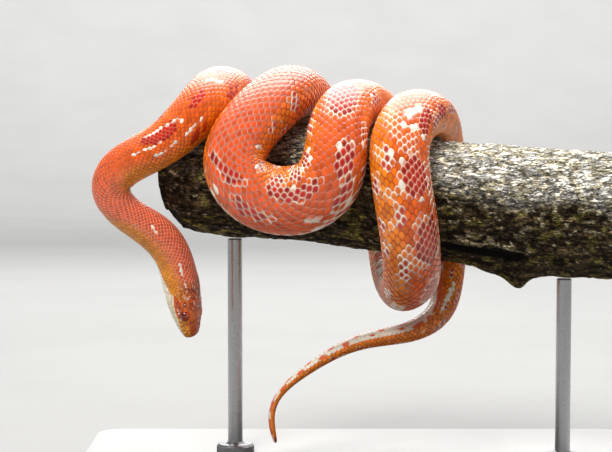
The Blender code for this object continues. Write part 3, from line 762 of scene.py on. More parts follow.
@dataclass
class Form:
    """Centreline, girth and head sections of the snake.

    A free mark is a point and the way the back faces there. A mark on the
    branch is its x, its turn round the bark in degrees, its height off the
    bark and its roll. The tables' rows start with a length from the snout,
    and the head's go on with half width, height and depth.
    """

    perch: Perch
    marks: tuple = (
        ("free", -81.4, -24.5, 67.4, (0.91, -0.41, 0)), ("free", -84.3, -24.5, 84.7, (0.91, -0.41, 0)),
        ("free", -87, -25, 99.6, (0.86, -0.50, 0.10)), ("free", -94, -27, 113.7, (0.60, -0.65, 0.45)),
        ("free", -109.9, -30.5, 125.2, (0.25, -0.78, 0.55)),
        ("free", -118, -32.5, 136.1, (-0.35, -0.93, 0)),
        ("free", -112.4, -33, 146.6, (-0.50, -0.78, 0.38)), ("on", -95.5, 18.9, 11.6, 0),
        ("on", -80.8, 40.7, 12, 0), ("on", -73, 61.1, 12.2, 0), ("on", -66.8, 100, 12.2, 0),
        ("on", -61.5, 128, 12.5, 0), ("on", -57, 149, 12.8, 0), ("on", -43, 160, 13, 0),
        ("on", -29, 149, 12.8, 0), ("on", -25, 128, 12.8, 0), ("on", -31, 103, 13.4, 0),
        ("on", -41.6, 63, 13.4, 0), ("on", -54.8, 34.5, 12.7, 4), ("on", -61, 13.8, 13, 8),
        ("on", -58.4, 1, 13.3, 10), ("on", -51.6, -7, 13.6, 12), ("on", -43, -10.5, 13.8, 14),
        ("on", -32, -9.5, 13.8, 14), ("on", -24.6, -4.6, 13.5, 12), ("on", -18.6, 3.4, 13.2, 10),
        ("on", -15, 18, 12.6, 8), ("on", -14, 37, 12.2, 4), ("on", -10.6, 58.9, 12, 0),
        ("on", -3.1, 90, 12, 0), ("on", 7.3, 125, 12.2, 6), ("on", 14, 175, 12.6, 14),
        ("on", 17.2, 235, 13, 28), ("on", 20.7, 295, 12.7, 44), ("on", 17.9, 345, 13, 44),
        ("on", 14, 390, 12.1, 28), ("on", 20, 425, 11.2, 18), ("on", 30, 460, 11, 14),
        ("on", 37.2, 505, 11, 22), ("on", 41.5, 555, 10, 44),
        ("free", 41.1, 16.5, 88.4, (0.86, 0.50, 0.10)), ("free", 36.4, 6.5, 74.7, (0.70, 0.45, -0.55)),
        ("free", 23.6, -0.5, 67.1, (0.20, 0.60, -0.77)), ("free", 6.6, -5.5, 64.4, (0, 0.62, -0.78)),
        ("free", -9.1, -9, 60.6, (0.10, 0.62, -0.78)),
        ("free", -23.3, -11.5, 52.9, (0.35, 0.60, -0.70)),
        ("free", -36.9, -13, 42.9, (0.55, 0.55, -0.60)),
        ("free", -44.5, -13.5, 31.4, (0.80, 0.55, -0.20)),
        ("free", -42.2, -13.5, 15.4, (0.85, 0.50, 0.10)),
    )
    girth: tuple = (
        (25, 8.8), (32, 8.5), (50, 8.7), (68, 8.1), (82, 8.8), (96, 9.5), (112, 9.9), (126, 10.8),
        (142, 12), (165, 12.8), (200, 13.3), (250, 13.8), (300, 14.4), (340, 14.2), (385, 15.8),
        (425, 14), (480, 12.9), (552, 14), (642, 14.3), (700, 13.5), (735, 12.8), (762, 12),
        (790, 10.4), (820, 8.5), (838, 7), (854, 5.7), (869, 4.6), (893, 3.5), (918, 2.4), (938, 1.6),
        (956, 1.25), (961, 0.8),
    )
    back_share: tuple = (
        (25, 0.93), (90, 0.96), (130, 0.90), (290, 0.92), (400, 0.86), (800, 0.90), (870, 1),
    )
    belly_share: tuple = ((25, 0.95), (90, 0.96), (130, 0.88), (400, 0.84), (800, 0.88), (870, 1))
    head: tuple = (
        (0, 0.9, 0.8, 0.7), (0.3, 2.3, 1.8, 1.6), (0.8, 3.3, 2.7, 2.2), (1.8, 4.3, 3.7, 3),
        (3.5, 5.15, 4.6, 3.9), (5.5, 5.9, 5.2, 4.6), (8, 6.7, 5.9, 5.4), (11, 7.6, 6.5, 6.3),
        (14, 8.4, 6.9, 6.9), (17, 9, 7.3, 7.4), (20, 9.2, 7.6, 7.8), (23, 9, 7.9, 8.2),
        (26, 8.7, 8.1, 8.3),
    )
    mouth: tuple = ((0, -0.5), (3.5, -1.2), (8, -1.9), (13, -2.3), (17.5, -2), (21, -1.2))
    head_end: float = 26.0
    ease: float = 5.0
    ease_step: float = 0.25
    bark_gap: float = 0.8
    angles: int = 241

    def __post_init__(self) -> None:
        """Lay the centreline and the way the back faces along it."""
        points = np.array([m[1:4] if m[0] == "free" else self.on_branch(*m[1:4]) for m in self.marks])
        chords = np.linalg.norm(np.diff(points, axis=0), axis=1)
        knots = running(np.sqrt(chords))
        self.reach, self.line = self.soften(spline(knots, points, np.linspace(0, knots[-1], 6000)))
        self.length = float(self.reach[-1])
        apart = np.linalg.norm(self.line[:, None, :] - points[None, 1:-1, :], axis=2)
        self.marks_at = np.concatenate([[0.0], self.reach[np.argmin(apart, axis=0)], [self.length]])
        self.backs = np.array([self.back_at(i) for i in range(len(self.marks))])

    def on_branch(self, x: float, turn: float, lift: float) -> tuple[float, float, float]:
        """Point at lift over the bark, at x along the branch and turn round it."""
        y, z, r = (float(v[0]) for v in self.perch.at(np.array([x])))
        a = math.radians(turn)
        return x, y - (r + lift) * math.cos(a), z + (r + lift) * math.sin(a)

    def soften(self, dense: Array) -> tuple[Array, Array]:
        """Points made even in spacing, then averaged under a bell curve.

        Args:
            dense: points along the raw curve.

        Returns:
            Lengths from the snout, and the eased points there.
        """
        run = run_along(dense)
        even = np.arange(0, run[-1], self.ease_step)
        line = read_along(even, run, dense)
        half = int(3 * self.ease / self.ease_step)
        weight = np.exp(-0.5 * (np.arange(-half, half + 1) * self.ease_step / self.ease) ** 2)
        weight /= weight.sum()
        padded = np.concatenate([2 * line[0] - line[half:0:-1], line, 2 * line[-1] - line[-2:-half - 2:-1]])
        eased = np.stack([np.convolve(padded[:, k], weight, "valid") for k in range(3)], axis=1)
        return run_along(eased), eased

    def place(self, s: Array) -> Array:
        """Points of the centreline at lengths s."""
        return read_along(s, self.reach, self.line)

    def tangent(self, s: Array) -> Array:
        """Unit direction of the centreline at lengths s, towards the tail."""
        s = np.clip(s, 0.3, self.length - 0.3)
        return unit(self.place(s + 0.3) - self.place(s - 0.3))

    def back_at(self, i: int) -> Array:
        """The way the back faces at mark i."""
        mark = self.marks[i]
        if mark[0] == "free":
            return unit(np.array(mark[4]))
        along = self.tangent(self.marks_at[i:i + 1])[0]
        a, roll = math.radians(mark[2]), math.radians(mark[4])
        out = np.array([0.0, -math.cos(a), math.sin(a)])
        out = unit(out - along * out.dot(along))
        return out * math.cos(roll) + np.cross(along, out) * math.sin(roll)

    def frames(self, s: Array) -> tuple[Array, Array, Array]:
        """Place, side and back directions at lengths s."""
        s = np.asarray(s, float)
        along = self.tangent(s)
        back = spline(self.marks_at, self.backs, s)
        back = unit(back - along * np.sum(back * along, axis=1, keepdims=True))
        return self.place(s), np.cross(along, back), back

    def squeeze(self, offsets: Array, s: Array) -> Array:
        """Offsets held short of the centre on the inside of a tight bend.

        Past seven tenths of the bend's radius R they close on 0.95 R by
        1 - exp(-excess).

        Args:
            offsets: vectors from the centreline, rows by columns.
            s: length of each row.

        Returns:
            The offsets, shortened where the bend asks for it.
        """
        s = np.clip(s, 2.0, self.length - 2.0)
        bend = (self.place(s + 2) - 2 * self.place(s) + self.place(s - 2)) / 4
        radius = 1 / np.maximum(np.linalg.norm(bend, axis=-1), 1e-4)[:, None]
        toward = unit(bend)[:, None, :]
        inward = np.sum(offsets * toward, axis=2)
        soft, hard = 0.7 * radius, 0.95 * radius
        pressed = soft + (hard - soft) * (1 - np.exp(-np.maximum(inward - soft, 0) / (hard - soft)))
        return offsets + (np.where(inward > soft, pressed, inward) - inward)[:, :, None] * toward

    def clear_of_bark(self, points: Array) -> Array:
        """Points that would sink in the bark, moved straight out of it."""
        y, z, r = self.perch.at(points[..., 0])
        dy, dz = points[..., 1] - y, points[..., 2] - z
        away = np.hypot(dy, dz)
        need = np.maximum(r + self.bark_gap, away) / away
        return np.stack([points[..., 0], y + dy * need, z + dz * need], axis=-1)

    def width(self, s: Array) -> Array:
        """Half width of head and body at lengths s."""
        return np.where(s < self.head_end, table(self.head, s), table(self.girth, s))

    def coat(self, s: Array) -> Array:
        """Thickness of the coat of scales at lengths s."""
        return np.clip(0.031 * self.width(s) * (1 + 0.7 * ramp(s, 760, 880)), 0.05, 0.44)

    def half_sections(self, s: Array, depth: Array) -> tuple[Array, Array]:
        """Right halves of the sections at lengths s, sunk by depth.

        A point at angle a from the back lies at (w sin(a)^(2/n), h cos(a)^(2/n)),
        with n from 2.1 to 2.5 and h the back's or the belly's height. The head
        adds a brow over the eye and a jaw a little narrower than the lips.

        Args:
            s: lengths from the snout.
            depth: how far under the full form each section lies.

        Returns:
            Distance to the side and height over the axis, one row a section.
        """
        head = s < self.head_end
        wide = self.width(s)
        high = np.where(head, table(self.head, s, 2), wide * table(self.back_share, s))
        deep = np.where(head, table(self.head, s, 3), wide * table(self.belly_share, s))
        wide, high, deep = ((a - depth)[:, None] for a in (wide, high, deep))
        angle = np.linspace(0, math.pi, self.angles)[None, :]
        side, up = np.sin(angle), np.cos(angle)
        neck = ramp(s, 22, 30)[:, None]
        power = 2 / np.where(up > 0, 2.35 - 0.25 * neck, 2.3 + 0.2 * neck)
        v = wide * np.maximum(side, 0) ** power
        h = np.where(up > 0, high, deep) * np.sign(up) * np.abs(up) ** power
        fade = (np.clip((20 - s) / 3, 0, 1) * np.minimum(1, wide[:, 0] / 4.5))[:, None]
        below = ramp(table(self.mouth, s)[:, None] - h, 0.0, 0.8)
        brow = bump(s, 11.2, 3.2)[:, None]
        v = v * (1 - 0.035 * fade * below) + 0.35 * brow * bump(angle, 0.95, 0.28)
        return v, h + 0.30 * brow * bump(angle, 0.85, 0.30)

    def surface(self, s: Array, q: Array, depth: Array) -> Array:
        """Points of the skin on a grid of lengths s and turns q.

        On the body |q| is the share of the way from back to belly along the
        section. On the head the lips lie at |q| = LIP, and |q| is the share
        of the way above them and below them.

        Args:
            s: lengths from the snout, one a row.
            q: turns from -1 to 1, one a column.
            depth: how far under the full form each row lies.

        Returns:
            Rows by columns by three.
        """
        v, h = self.half_sections(s, depth)
        run = running(np.hypot(np.diff(v), np.diff(h)))
        run /= run[:, -1:]
        lips = by_row(-table(self.mouth, s), -h, run)
        lips = lips + (LIP - lips) * ramp(s, 20, 34)
        turn = np.abs(q)[None, :]
        lips = lips[:, None]
        share = np.where(turn < LIP, turn / LIP * lips, lips + (turn - LIP) / (1 - LIP) * (1 - lips))
        out, up = by_row(share, run, v) * np.sign(q)[None, :], by_row(share, run, h)
        place, side, back = self.frames(s)
        offsets = out[:, :, None] * side[:, None, :] + up[:, :, None] * back[:, None, :]
        points = place[:, None, :] + self.squeeze(offsets, s)
        return np.where((s > 60)[:, None, None], self.clear_of_bark(points), points)

    def head_point(self, s: float, out: float, up: float, hand: Hand) -> Array:
        """Point beside the head's axis on one hand."""
        place, side, back = (row[0] for row in self.frames(np.array([s])))
        return place + side * out * hand.value + back * up

    def half_width(self, s: float, up: float) -> float:
        """Half width of the head at a height over its axis."""
        wide, crown = (float(table(self.head, np.array([s]), k)[0]) for k in (1, 2))
        return wide * (1 - min(up / crown, 1) ** 2.35) ** (1 / 2.35)


def outward(points: Array) -> Array:
    """Unit normals of a grid: the q derivative crossed with the s derivative."""
    across = np.roll(points, -1, axis=1) - np.roll(points, 1, axis=1)
    return unit(np.cross(across, np.gradient(points, axis=0)))


@dataclass
class Skin:
    """The skin's surface as a dense table of points and normals over s and q."""

    form: Form
    first: float = 10.0
    step: float = 0.5
    columns: int = 240

    def __post_init__(self) -> None:
        """Work out the table once."""
        self.s = np.arange(self.first, self.form.length - 0.8, self.step)
        self.q = np.linspace(-1, 1, self.columns, endpoint=False)
        self.points = self.form.surface(self.s, self.q, self.depth(self.s))
        self.normals = outward(self.points)
        gaps = np.linalg.norm(np.roll(self.points, -1, axis=1) - self.points, axis=2)
        self.round = gaps.sum(axis=1)

    def depth(self, s: Array) -> Array:
        """How far the skin lies under the full form at lengths s."""
        head = np.minimum(0.55, 0.25 * self.form.width(s))
        return head + (self.form.coat(s) - head) * ramp(s, 20, 27)

    def perimeter(self, s: Array) -> Array:
        """Length round the skin at lengths s."""
        return np.interp(s, self.s, self.round)

    def at(self, s: Array, q: Array) -> tuple[Array, Array]:
        """Points and normals at scattered places, mixed from the four nearest."""
        a = np.clip((s - self.first) / self.step, 0, len(self.s) - 1.001)
        b = (q + 1) / 2 * self.columns
        i, j = np.floor(a).astype(int), np.floor(b).astype(int)
        x, y = (a - i)[..., None], (b - j)[..., None]
        j, n = j % self.columns, (j + 1) % self.columns
        read = []
        for grid in (self.points, self.normals):
            near = grid[i, j] * (1 - y) + grid[i, n] * y
            far = grid[i + 1, j] * (1 - y) + grid[i + 1, n] * y
            read.append(near * (1 - x) + far * x)
        return read[0], unit(read[1])


# Markings

@dataclass
class Markings:
    """Saddles on the back, spots on the flanks and checks on the belly.

    A mark is its length from the snout, its turn in degrees from the back, its
    half length, its half width in degrees and its turn's drift a millimetre.
    A streak runs from one length and turn to another, and has a half width.
    """

    seen: tuple = (
        (116, -6, 9.5, 17, 0.3), (137, 12, 4.5, 12, 0), (352.5, 11, 6.4, 12, -4),
        (368, 15, 7.5, 12, -0.4), (386.5, -33, 13.5, 13, 0.9), (401.5, 34, 4.8, 11, 0),
        (410, 13, 6, 16, 0.5), (617, 4, 6.8, 24, 0), (643.6, 0, 8.4, 31, 0.3), (668.2, -3, 7.8, 31, 0),
        (697, 28, 8.6, 14, 0), (715, 56, 5, 16, 0),
    )
    more: tuple = (*range(165, 270, 26), *range(438, 569, 26), 592, 742, 766, 788, 808, 827, 845, 862, 878,
                   893, 907, 920, 932, 944)
    spots: tuple = (
        (312, -68, 3.4, 17, 0), (327, -66, 2.2, 6, 0), (340, -60, 2.2, 6, 0), (635.5, -61, 4.2, 11, 0),
        (655, -54, 4, 10, 0), (675.5, -59, 4.2, 10, 0), (652.5, -102, 3.2, 8, 0),
        (665.5, -97, 3.2, 9, 0),
    )
    streaks: tuple = (
        (24, -52, 30, -48, 0.45), (30, -48, 37, -35, 0.5), (54, -38, 57, -34, 0.7),
        (108, -22, 118, -24, 0.4), (118, -24, 126, -6, 0.5), (126, -6, 126.6, 12, 0.5),
        (114, 10, 101, 23, 0.5), (132.2, 46, 123.4, 37, 0.5), (118.6, 33, 108, 41, 0.45),
        (147, 0, 149.5, 28, 0.9), (387.5, 17, 391.5, 34, 1.1), (355, 43, 356, 62, 0.9),
        (702, 10, 694, -14, 1.6), (688, -20, 690, 6, 1.1), (834, 94, 841, 112, 1.7),
        (841, 112, 848, 121, 1.5),
    )
    # The long checks at 818 and 838 mm are partly painted shade on the belly under the tail's rise.
    tail_checks: tuple = (
        (862.5, 152, 3.4, 15), (855.5, 150, 1.6, 9), (870.6, 170, 1.4, 11), (885, 170, 1.6, 12),
        (898, 162, 1.9, 26), (910, 160, 2, 26), (922.6, 158, 2.3, 28), (933, 156, 2.6, 30),
        (943, 160, 3, 34), (953, 166, 5, 44), (838, 152, 14, 13), (818, 152, 6, 12),
        (868, 206, 2.4, 12), (880, 198, 1.8, 12), (892, 204, 2, 18), (905, 200, 2, 18),
        (917, 204, 2.2, 20), (929, 204, 2.4, 24), (940, 206, 3, 30),
    )
    degree: float = 0.2

    def __post_init__(self) -> None:
        """Complete the two lists of marks for the whole body, smaller towards the tail."""
        rng = np.random.default_rng(7)
        saddles = [list(mark) for mark in self.seen]
        for s in self.more:
            small = float(np.interp(s, [760, 950], [1.0, 0.38]))
            saddles.append([s + rng.uniform(-1, 1), rng.uniform(-4, 4), (8.6 + rng.uniform(-1, 1)) * small,
                            30 + rng.uniform(-4, 3), rng.uniform(-0.4, 0.4)])
        self.saddles = np.array(sorted(saddles))
        spots = [list(mark) for mark in self.spots]
        mids = (self.saddles[1:, 0] + self.saddles[:-1, 0]) / 2
        for s in mids[(mids > 100) & (mids < 945)]:
            small = float(np.interp(s, [760, 950], [1.0, 0.4]))
            for sign in (-1, 1):
                close = [m for m in self.spots if abs(m[0] - s) < 14 and m[1] * sign > 0]
                if not close:
                    spots.append([s + rng.uniform(-2, 2), sign * rng.uniform(60, 70), 5.2 * small,
                                  rng.uniform(10, 14), 0.0])
                spots.append([s + 11 * small, sign * rng.uniform(96, 108), 3.2 * small,
                              rng.uniform(6, 9), 0.0])
        self.flank = np.array(spots)

    @staticmethod
    def nearness(marks: Array, s: Array, turn: Array, power: float) -> Array:
        """How far out of the nearest mark each place is: 1 on its edge.

        For each mark it is (|ds / half length|^p + |dturn / half width|^p)^(1/p),
        and the least of them is kept.

        Args:
            marks: rows of a list of marks.
            s: lengths from the snout.
            turn: turns in degrees.
            power: p, higher for squarer marks.

        Returns:
            One number for each place.
        """
        least = np.full(np.shape(s), FAR)
        for at, centre, length, wide, drift in marks:
            ds = s - at
            off = np.abs(ds / length) ** power + np.abs((turn - centre - drift * ds) / wide) ** power
            least = np.minimum(least, off ** (1 / power))
        return least

    @staticmethod
    def noise(s: Array, turn: Array, cells: tuple[int, int], seed: int, layers: int = 1) -> Array:
        """Soft noise over the skin, for lengths s and turns in degrees."""
        return cloud(s / 240, turn / 360 + 0.5, cells, seed, layers)

    def wobble(self, s: Array, turn: Array) -> Array:
        """Irregular edge of the marks, about -0.5 to 0.5."""
        return self.noise(s, turn, (60, 22), 5, 2) - 0.5

    def streaked(self, s: Array, turn: Array) -> Array:
        """Distance to the nearest pale streak, 1 at its edge.

        A degree counts as 0.2 mm, about its size there. A place's foot on a
        streak is at the share (p - a) . (b - a) / |b - a|^2 of its run from
        a to b.

        Args:
            s: lengths from the snout.
            turn: turns in degrees.

        Returns:
            One number for each place.
        """
        least = np.full(np.shape(s), FAR)
        for s0, t0, s1, t1, half in self.streaks:
            run, rise = s1 - s0, self.degree * (t1 - t0)
            along, up = s - s0, self.degree * (turn - t0)
            share = np.clip((along * run + up * rise) / (run * run + rise * rise), 0, 1)
            least = np.minimum(least, np.hypot(along - share * run, up - share * rise) / half)
        return least

    def paint(self, s: Array, q: Array, luck: Array | float = 0.4) -> tuple[Array, Array, Array]:
        """Colours of a scale's middle and rim, and how broad its rim is.

        Orange ground turns to yellower flanks, and is redder on the neck and on the loop's back, where
        broad pale pink rims are a painted sheen from the light above. Saddles and spots are red with pale
        rims; saddles darken a little down the body, and on the lowest coil and past it that darkening is
        painted shade. Round them the rims are white, and some middles too. The belly's cream comes last,
        low on the sides.

        Args:
            s: lengths from the snout.
            q: turns.
            luck: each scale's own number from 0 to 1.

        Returns:
            Linear colours of the middle and of the rim, and the rim's breadth
            from 0 to 1.
        """
        turn = 180 * q
        wobble = self.wobble(s, turn)
        patch = self.noise(s, turn, (27, 10), 15, 3)
        fleck = self.noise(s, turn, (80, 34), 25)
        around = np.abs(turn)
        side = ramp(around + 30 * (patch - 0.5), 34, 80)
        neck = ramp(s, 110, 70)
        nape = ramp(s, 30, 21)
        loop = ramp(s, 290, 345)
        # On the loop's back the ground is redder and its rims broad and pale pink; those rims are painted
        # sheen from the light above, while on the neck the pink rims are the snake's own colour.
        flush_and_sheen = bump(s, 330, 95) * ramp(around, 64, 34)
        rosy_and_sheen = np.maximum(neck * (1 - nape) * ramp(around, 92, 62), 0.75 * flush_and_sheen)
        yellow = ramp(s, 190, 60) * bump(around, 106, 34)
        tone = layered(
            blend(Tone.GROUND.rgb, Tone.FLANK.rgb, side) * (0.78 + 0.44 * patch)[..., None],
            ((0.62, 0.050, 0.006), 0.7 * neck * ramp(around, 80, 50)),
            ((0.70, 0.060, 0.012), 0.65 * flush_and_sheen),
            ((0.68, 0.125, 0.008), nape * ramp(around, 120, 90)),
            (Tone.STRIPE.rgb * 1.2, 0.9 * nape * (luck < 0.22)),
            ((0.78, 0.32, 0.012), 0.85 * yellow))
        line = layered(
            Tone.GROUND_LINE.rgb,
            (Tone.FLANK_LINE.rgb, side),
            ((0.20, 0.012, 0.003), nape),
            (Tone.PALE.rgb, 0.9 * nape * (luck > 0.74) * ramp(around, 110, 80)),
            ((0.90, 0.44, 0.32), 0.9 * rosy_and_sheen),
            ((0.46, 0.07, 0.003), 0.8 * yellow))
        saddle = self.nearness(self.saddles, s, turn, 2.7) + 0.30 * wobble
        spot = self.nearness(self.flank, s, turn, 2.2) + 0.40 * wobble
        streak = ramp(self.streaked(s, turn), 1.5, 0.7)
        halo = bump(saddle, 1.12, 0.15) * ramp(fleck, 0.14, 0.40) * (0.40 + 0.60 * loop)
        ring = ramp(spot, 1.50, 1.22) * ramp(fleck, 0.20, 0.46) * ramp(around, 126, 104)
        halo = np.maximum(halo, ring * (0.30 + 0.70 * ramp(s, 322, 342))) * ramp(s, 760, 700)
        stray = ramp(fleck + 0.30 * (patch - 0.5), 0.78, 0.90)
        stray = stray * ramp(around, 125, 60) * (0.30 + 0.30 * side)
        net = ramp(self.noise(s, turn, (46, 17), 45, 2), 0.50, 0.62) * bump(s, 665, 55)
        stray = np.maximum(stray * ramp(s, 780, 720), 0.62 * net * ramp(around, 115, 85))
        halo = np.clip(np.maximum(np.maximum(halo, stray), streak), 0, 1)
        inside = ramp(saddle, 1.03, 0.95) * (1 - streak)
        in_spot = ramp(spot, 1.04, 0.92) * (1 - streak)
        red = blend(Tone.SADDLE.rgb, Tone.SADDLE_DARK.rgb, ramp(saddle + 0.6 * (patch - 0.5), 0.55, 0.95))
        # Saddles darken a little past 200 mm and again past 560 mm; the second step is painted shade on the
        # lowest coil.
        red = red * (0.84 - 0.06 * ramp(s, 200, 350) - 0.05 * ramp(s, 560, 610))[..., None]
        pink = layered(np.array([0.66, 0.11, 0.05]), (Tone.SADDLE_LINE.rgb, 0.15 + 0.85 * loop),
                       (Tone.PALE.rgb, 0.55 * bump(s, 385, 60)))
        low = ramp(around + 6 * wobble + 17 * ramp(s, 60, 40), 134, 141)
        belly = Tone.BELLY.rgb * (0.93 + 0.14 * patch)[..., None]
        tone = layered(
            tone,
            (Tone.PALE.rgb, np.maximum(ramp(halo - 0.9 * luck, 0.60, 0.72), streak ** 2) * 0.92),
            (red, inside),
            (Tone.SPOT.rgb * (0.9 + 0.5 * (patch - 0.5))[..., None], in_spot * (luck < 0.8)),
            (belly, low))
        line = layered(
            line,
            (Tone.PALE.rgb, ramp(halo, 0.25, 0.60) * np.maximum(0.25 + 0.75 * loop, streak)),
            (pink, inside),
            (Tone.PALE.rgb, 0.9 * in_spot * ramp(around, 128, 108) * ramp(s, 200, 330)),
            (belly * 0.85, low))
        broad = np.maximum.reduce(np.broadcast_arrays(
            halo, 0.42 * inside, 0.8 * in_spot, 0.6 * nape, 0.5 * flush_and_sheen))
        return tone, line, broad * (1 - low)

    def belly(self, s: Array, q: Array, order: Array) -> Array:
        """Colour of belly scutes: cream with orange checks at their ends.

        Args:
            s: lengths from the snout.
            q: turns, past one on the far side of the belly's middle.
            order: number of each point's scute.

        Returns:
            Linear colours.
        """
        rng = np.random.default_rng(17)
        across = 1 - np.abs(np.abs(q) - 1) / 0.24
        pick = rng.random((int(order.max()) + 1, 2))
        chance = np.where(q > 1, pick[order, 0], pick[order, 1])
        patch = cloud(s / 240, q, (40, 8), 35, 2)
        check = ramp(chance, 0.74, 0.78) * ramp(across + 0.2 * (patch - 0.5), 0.80, 0.60) * ramp(s, 60, 110)
        turn = 180 * q
        tail = self.nearness(np.array([(*mark, 0.0) for mark in self.tail_checks]), s, turn, 2.0)
        check = np.where(s > 805, ramp(tail + 0.5 * self.wobble(s, turn), 1.06, 0.88), check)
        tone = Tone.BELLY.rgb * (0.92 + 0.16 * patch)[..., None]
        return blend(tone, Tone.CHECK.rgb, 0.92 * check)

    def skin(self, s: Array, q: Array) -> Array:
        """Colour of the skin between the scales: darker outside the marks as painted shade in the gaps, and
        paler in them.
        """
        _, line, broad = self.paint(s, q)
        # Outside the marks the skin is 0.55 of the rims' colour: painted shade in the gaps between the
        # scales.
        return blend(0.55 * line, line, np.maximum(broad, ramp(s, 945, 955)))


def bands(s: Array, q: Array, low: float, high: float) -> Array:
    """Unwrap of a stretch of the skin in four strips, one above another.

    With t = 4 (s - low) / (high - low), a place lies at the fraction of t
    across and (whole part of t + (q + 1) / 2) / 4 up.

    Args:
        s: lengths from the snout.
        q: turns from -1 to 1.
        low: where the stretch starts.
        high: where it ends.

    Returns:
        Two numbers for each place, from 0 to 1.
    """
    count, inset, margin = 4, 0.004, 0.02
    t = np.clip(count * (s - low) / (high - low), 0, count - 0.0001)
    strip = np.floor(t)
    across = inset + (1 - 2 * inset) * (t - strip)
    return np.stack([across, (strip + margin + (1 - 2 * margin) * (q + 1) / 2) / count], axis=-1)


# The snake's coat

@dataclass
class Coat:
    """Rows of overlapping scales on the back and flanks, scutes on the belly.

    A region is its first and last length, its rows of scales and the share of
    the girth that they cover. A piece is its name and its first and last length.
    """

    skin: Skin
    marks: Markings
    regions: tuple = (
        (12, 33, 44, 1), (33, 205, 35, 0.78), (205, 445, 31, 0.78), (445, 720, 29, 0.78),
        (720, 790, 25, 0.78), (790, 850, 21, 0.78), (850, 900, 15, 0.78), (900, 957.5, 9, 0.78),
    )
    pieces: tuple = (
        ("neck", 12, 112), ("rise", 112, 205), ("back_turn", 205, 325), ("loop", 325, 445),
        ("descent", 445, 575), ("ascent", 575, 705), ("taper_and_tail", 705, 960),
    )
    sides: int = 12
    step: float = 0.80
    corner: float = 1.7
    ends: tuple[float, float] = (12.0, 959.0)
    vent: float = 815.0
    scutes: tuple[float, float] = (31.0, 956.0)
    scute_step: float = 1.6
    uv_spread: float = 0.0015

    def start(self, q: Array) -> Array:
        """Where small scales take over from the head's plates, for each turn."""
        turn = np.abs(q)
        return 16.2 + 4.6 * bump(turn, LIP, 0.15) - 2.7 * ramp(turn, 0.80, 0.95)

    def lattice(self) -> Array:
        """Places of all scales: rows along the body, every other one half a step on.

        Row j of n lies at q = edge (2 (j + 1/2) / n - 1). The step along the
        body is eight tenths of the distance between rows.

        Returns:
            Rows of s, q, half length, half width in q, and the row distance.
        """
        found = []
        for low, high, rows, edge in self.regions:
            stations = [low]
            while stations[-1] < high:
                apart = edge * float(self.skin.perimeter(stations[-1])) / rows
                stations.append(stations[-1] + self.step * apart)
            stations = np.array(stations[:-1])
            apart = edge * self.skin.perimeter(stations) / rows
            i, j = np.indices((len(stations), rows))
            i, j = i[(i + j) % 2 == 0], j[(i + j) % 2 == 0]
            q = edge * (2 * (j + 0.5) / rows - 1)
            low_row = 1 + 0.16 * ramp(np.abs(q), 0.64, 0.74) * (edge < 1)
            found.append(np.stack([stations[i], q, self.step * apart[i] * 1.17 * low_row,
                                   self.step * 2 * edge / rows * low_row, apart[i]]))
        s, q, length, wide, apart = np.concatenate(found, axis=1)
        keep = s > self.start(q)
        s = s + np.random.default_rng(3).uniform(-0.05, 0.05, len(s)) * apart
        return np.stack([s, q, length, wide, apart])[:, keep]

    def template(self) -> tuple[Array, Array, list[Array]]:
        """One scale: a blunt rhomb in rings round its middle, and a skirt.

        The outline is |u|^1.7 + |v|^1.7 = 1 with u towards the tail.

        Returns:
            The points' u, v and ring share; each point's ring number; faces.
        """
        a = np.linspace(0, 2 * math.pi, self.sides, endpoint=False)
        u, v = (np.sign(turn) * np.abs(turn) ** (2 / self.corner) for turn in (np.cos(a), np.sin(a)))
        shares = (0.46, 0.76, 0.90, 1.0, 1.0)
        rings = [np.stack([u * k, v * k, np.full(self.sides, k)], axis=1) for k in shares]
        ring = np.concatenate([[0], np.repeat([1, 2, 3, 4, 5], self.sides)])
        k = np.arange(self.sides)
        n = (k + 1) % self.sides
        fan = np.stack([np.zeros_like(k), 1 + n, 1 + k], axis=1)
        quads = [np.stack([o + k, o + n, o + self.sides + n, o + self.sides + k], axis=1)
                 for o in 1 + self.sides * np.arange(4)]
        return np.concatenate([np.zeros((1, 3)), *rings]), ring, [fan, np.concatenate(quads)]

    def build_scales(self, paint: Material) -> None:
        """All dorsal scales, as joined meshes by stretch.

        A scale's point lies at (s + u length, q + v width) on the skin, raised
        by the coat's depth times its profile: low in front, high behind, domed
        by 1 - share^2, with a rounded edge and a skirt down to the skin.

        Args:
            paint: the scale material.
        """
        spots = self.lattice()
        shape, ring, faces = self.template()
        skirt_ring = ring.max()
        rim_ring = skirt_ring - 1
        u, v, share = shape.T
        for name, low, high in self.pieces:
            s, q, length, wide, apart = spots[:, (spots[0] >= low) & (spots[0] < high)][:, :, None]
            rng = np.random.default_rng(int(low))
            luck = rng.random((len(s), 1))
            _, _, mark = self.marks.paint(s, q, luck)
            gap = 1 - 0.05 * mark
            reach = np.clip(s + u * length * gap, *self.ends)
            turn = q + v * wide * gap
            base, normal = self.skin.at(reach, turn)
            thick = np.minimum(0.22 * apart, 1.15 * self.skin.form.coat(s))
            tilt, dome = 0.75 * ((u + 1) / 2) ** 1.2, 0.62 * (1 - share ** 2)
            lift = -0.15 + tilt + dome
            lift = np.where(ring == rim_ring, lift - 0.14, lift)
            lift = np.where(ring == skirt_ring, -0.25, lift)
            points = base + normal * (thick * lift)[..., None]
            tone, line, mark = self.marks.paint(s + 0.25 * u * length, q + 0.25 * v * wide, luck)
            tone = tone * rng.uniform(0.76, 1.20, (len(s), 1))[..., None]
            thin, broad = np.array([(0, 0, 0.18, 0.85, 1, 1), (0, 0.02, 0.50, 0.97, 1, 1)])[:, ring]
            rim = thin + (broad - thin) * np.clip(mark, 0, 1)
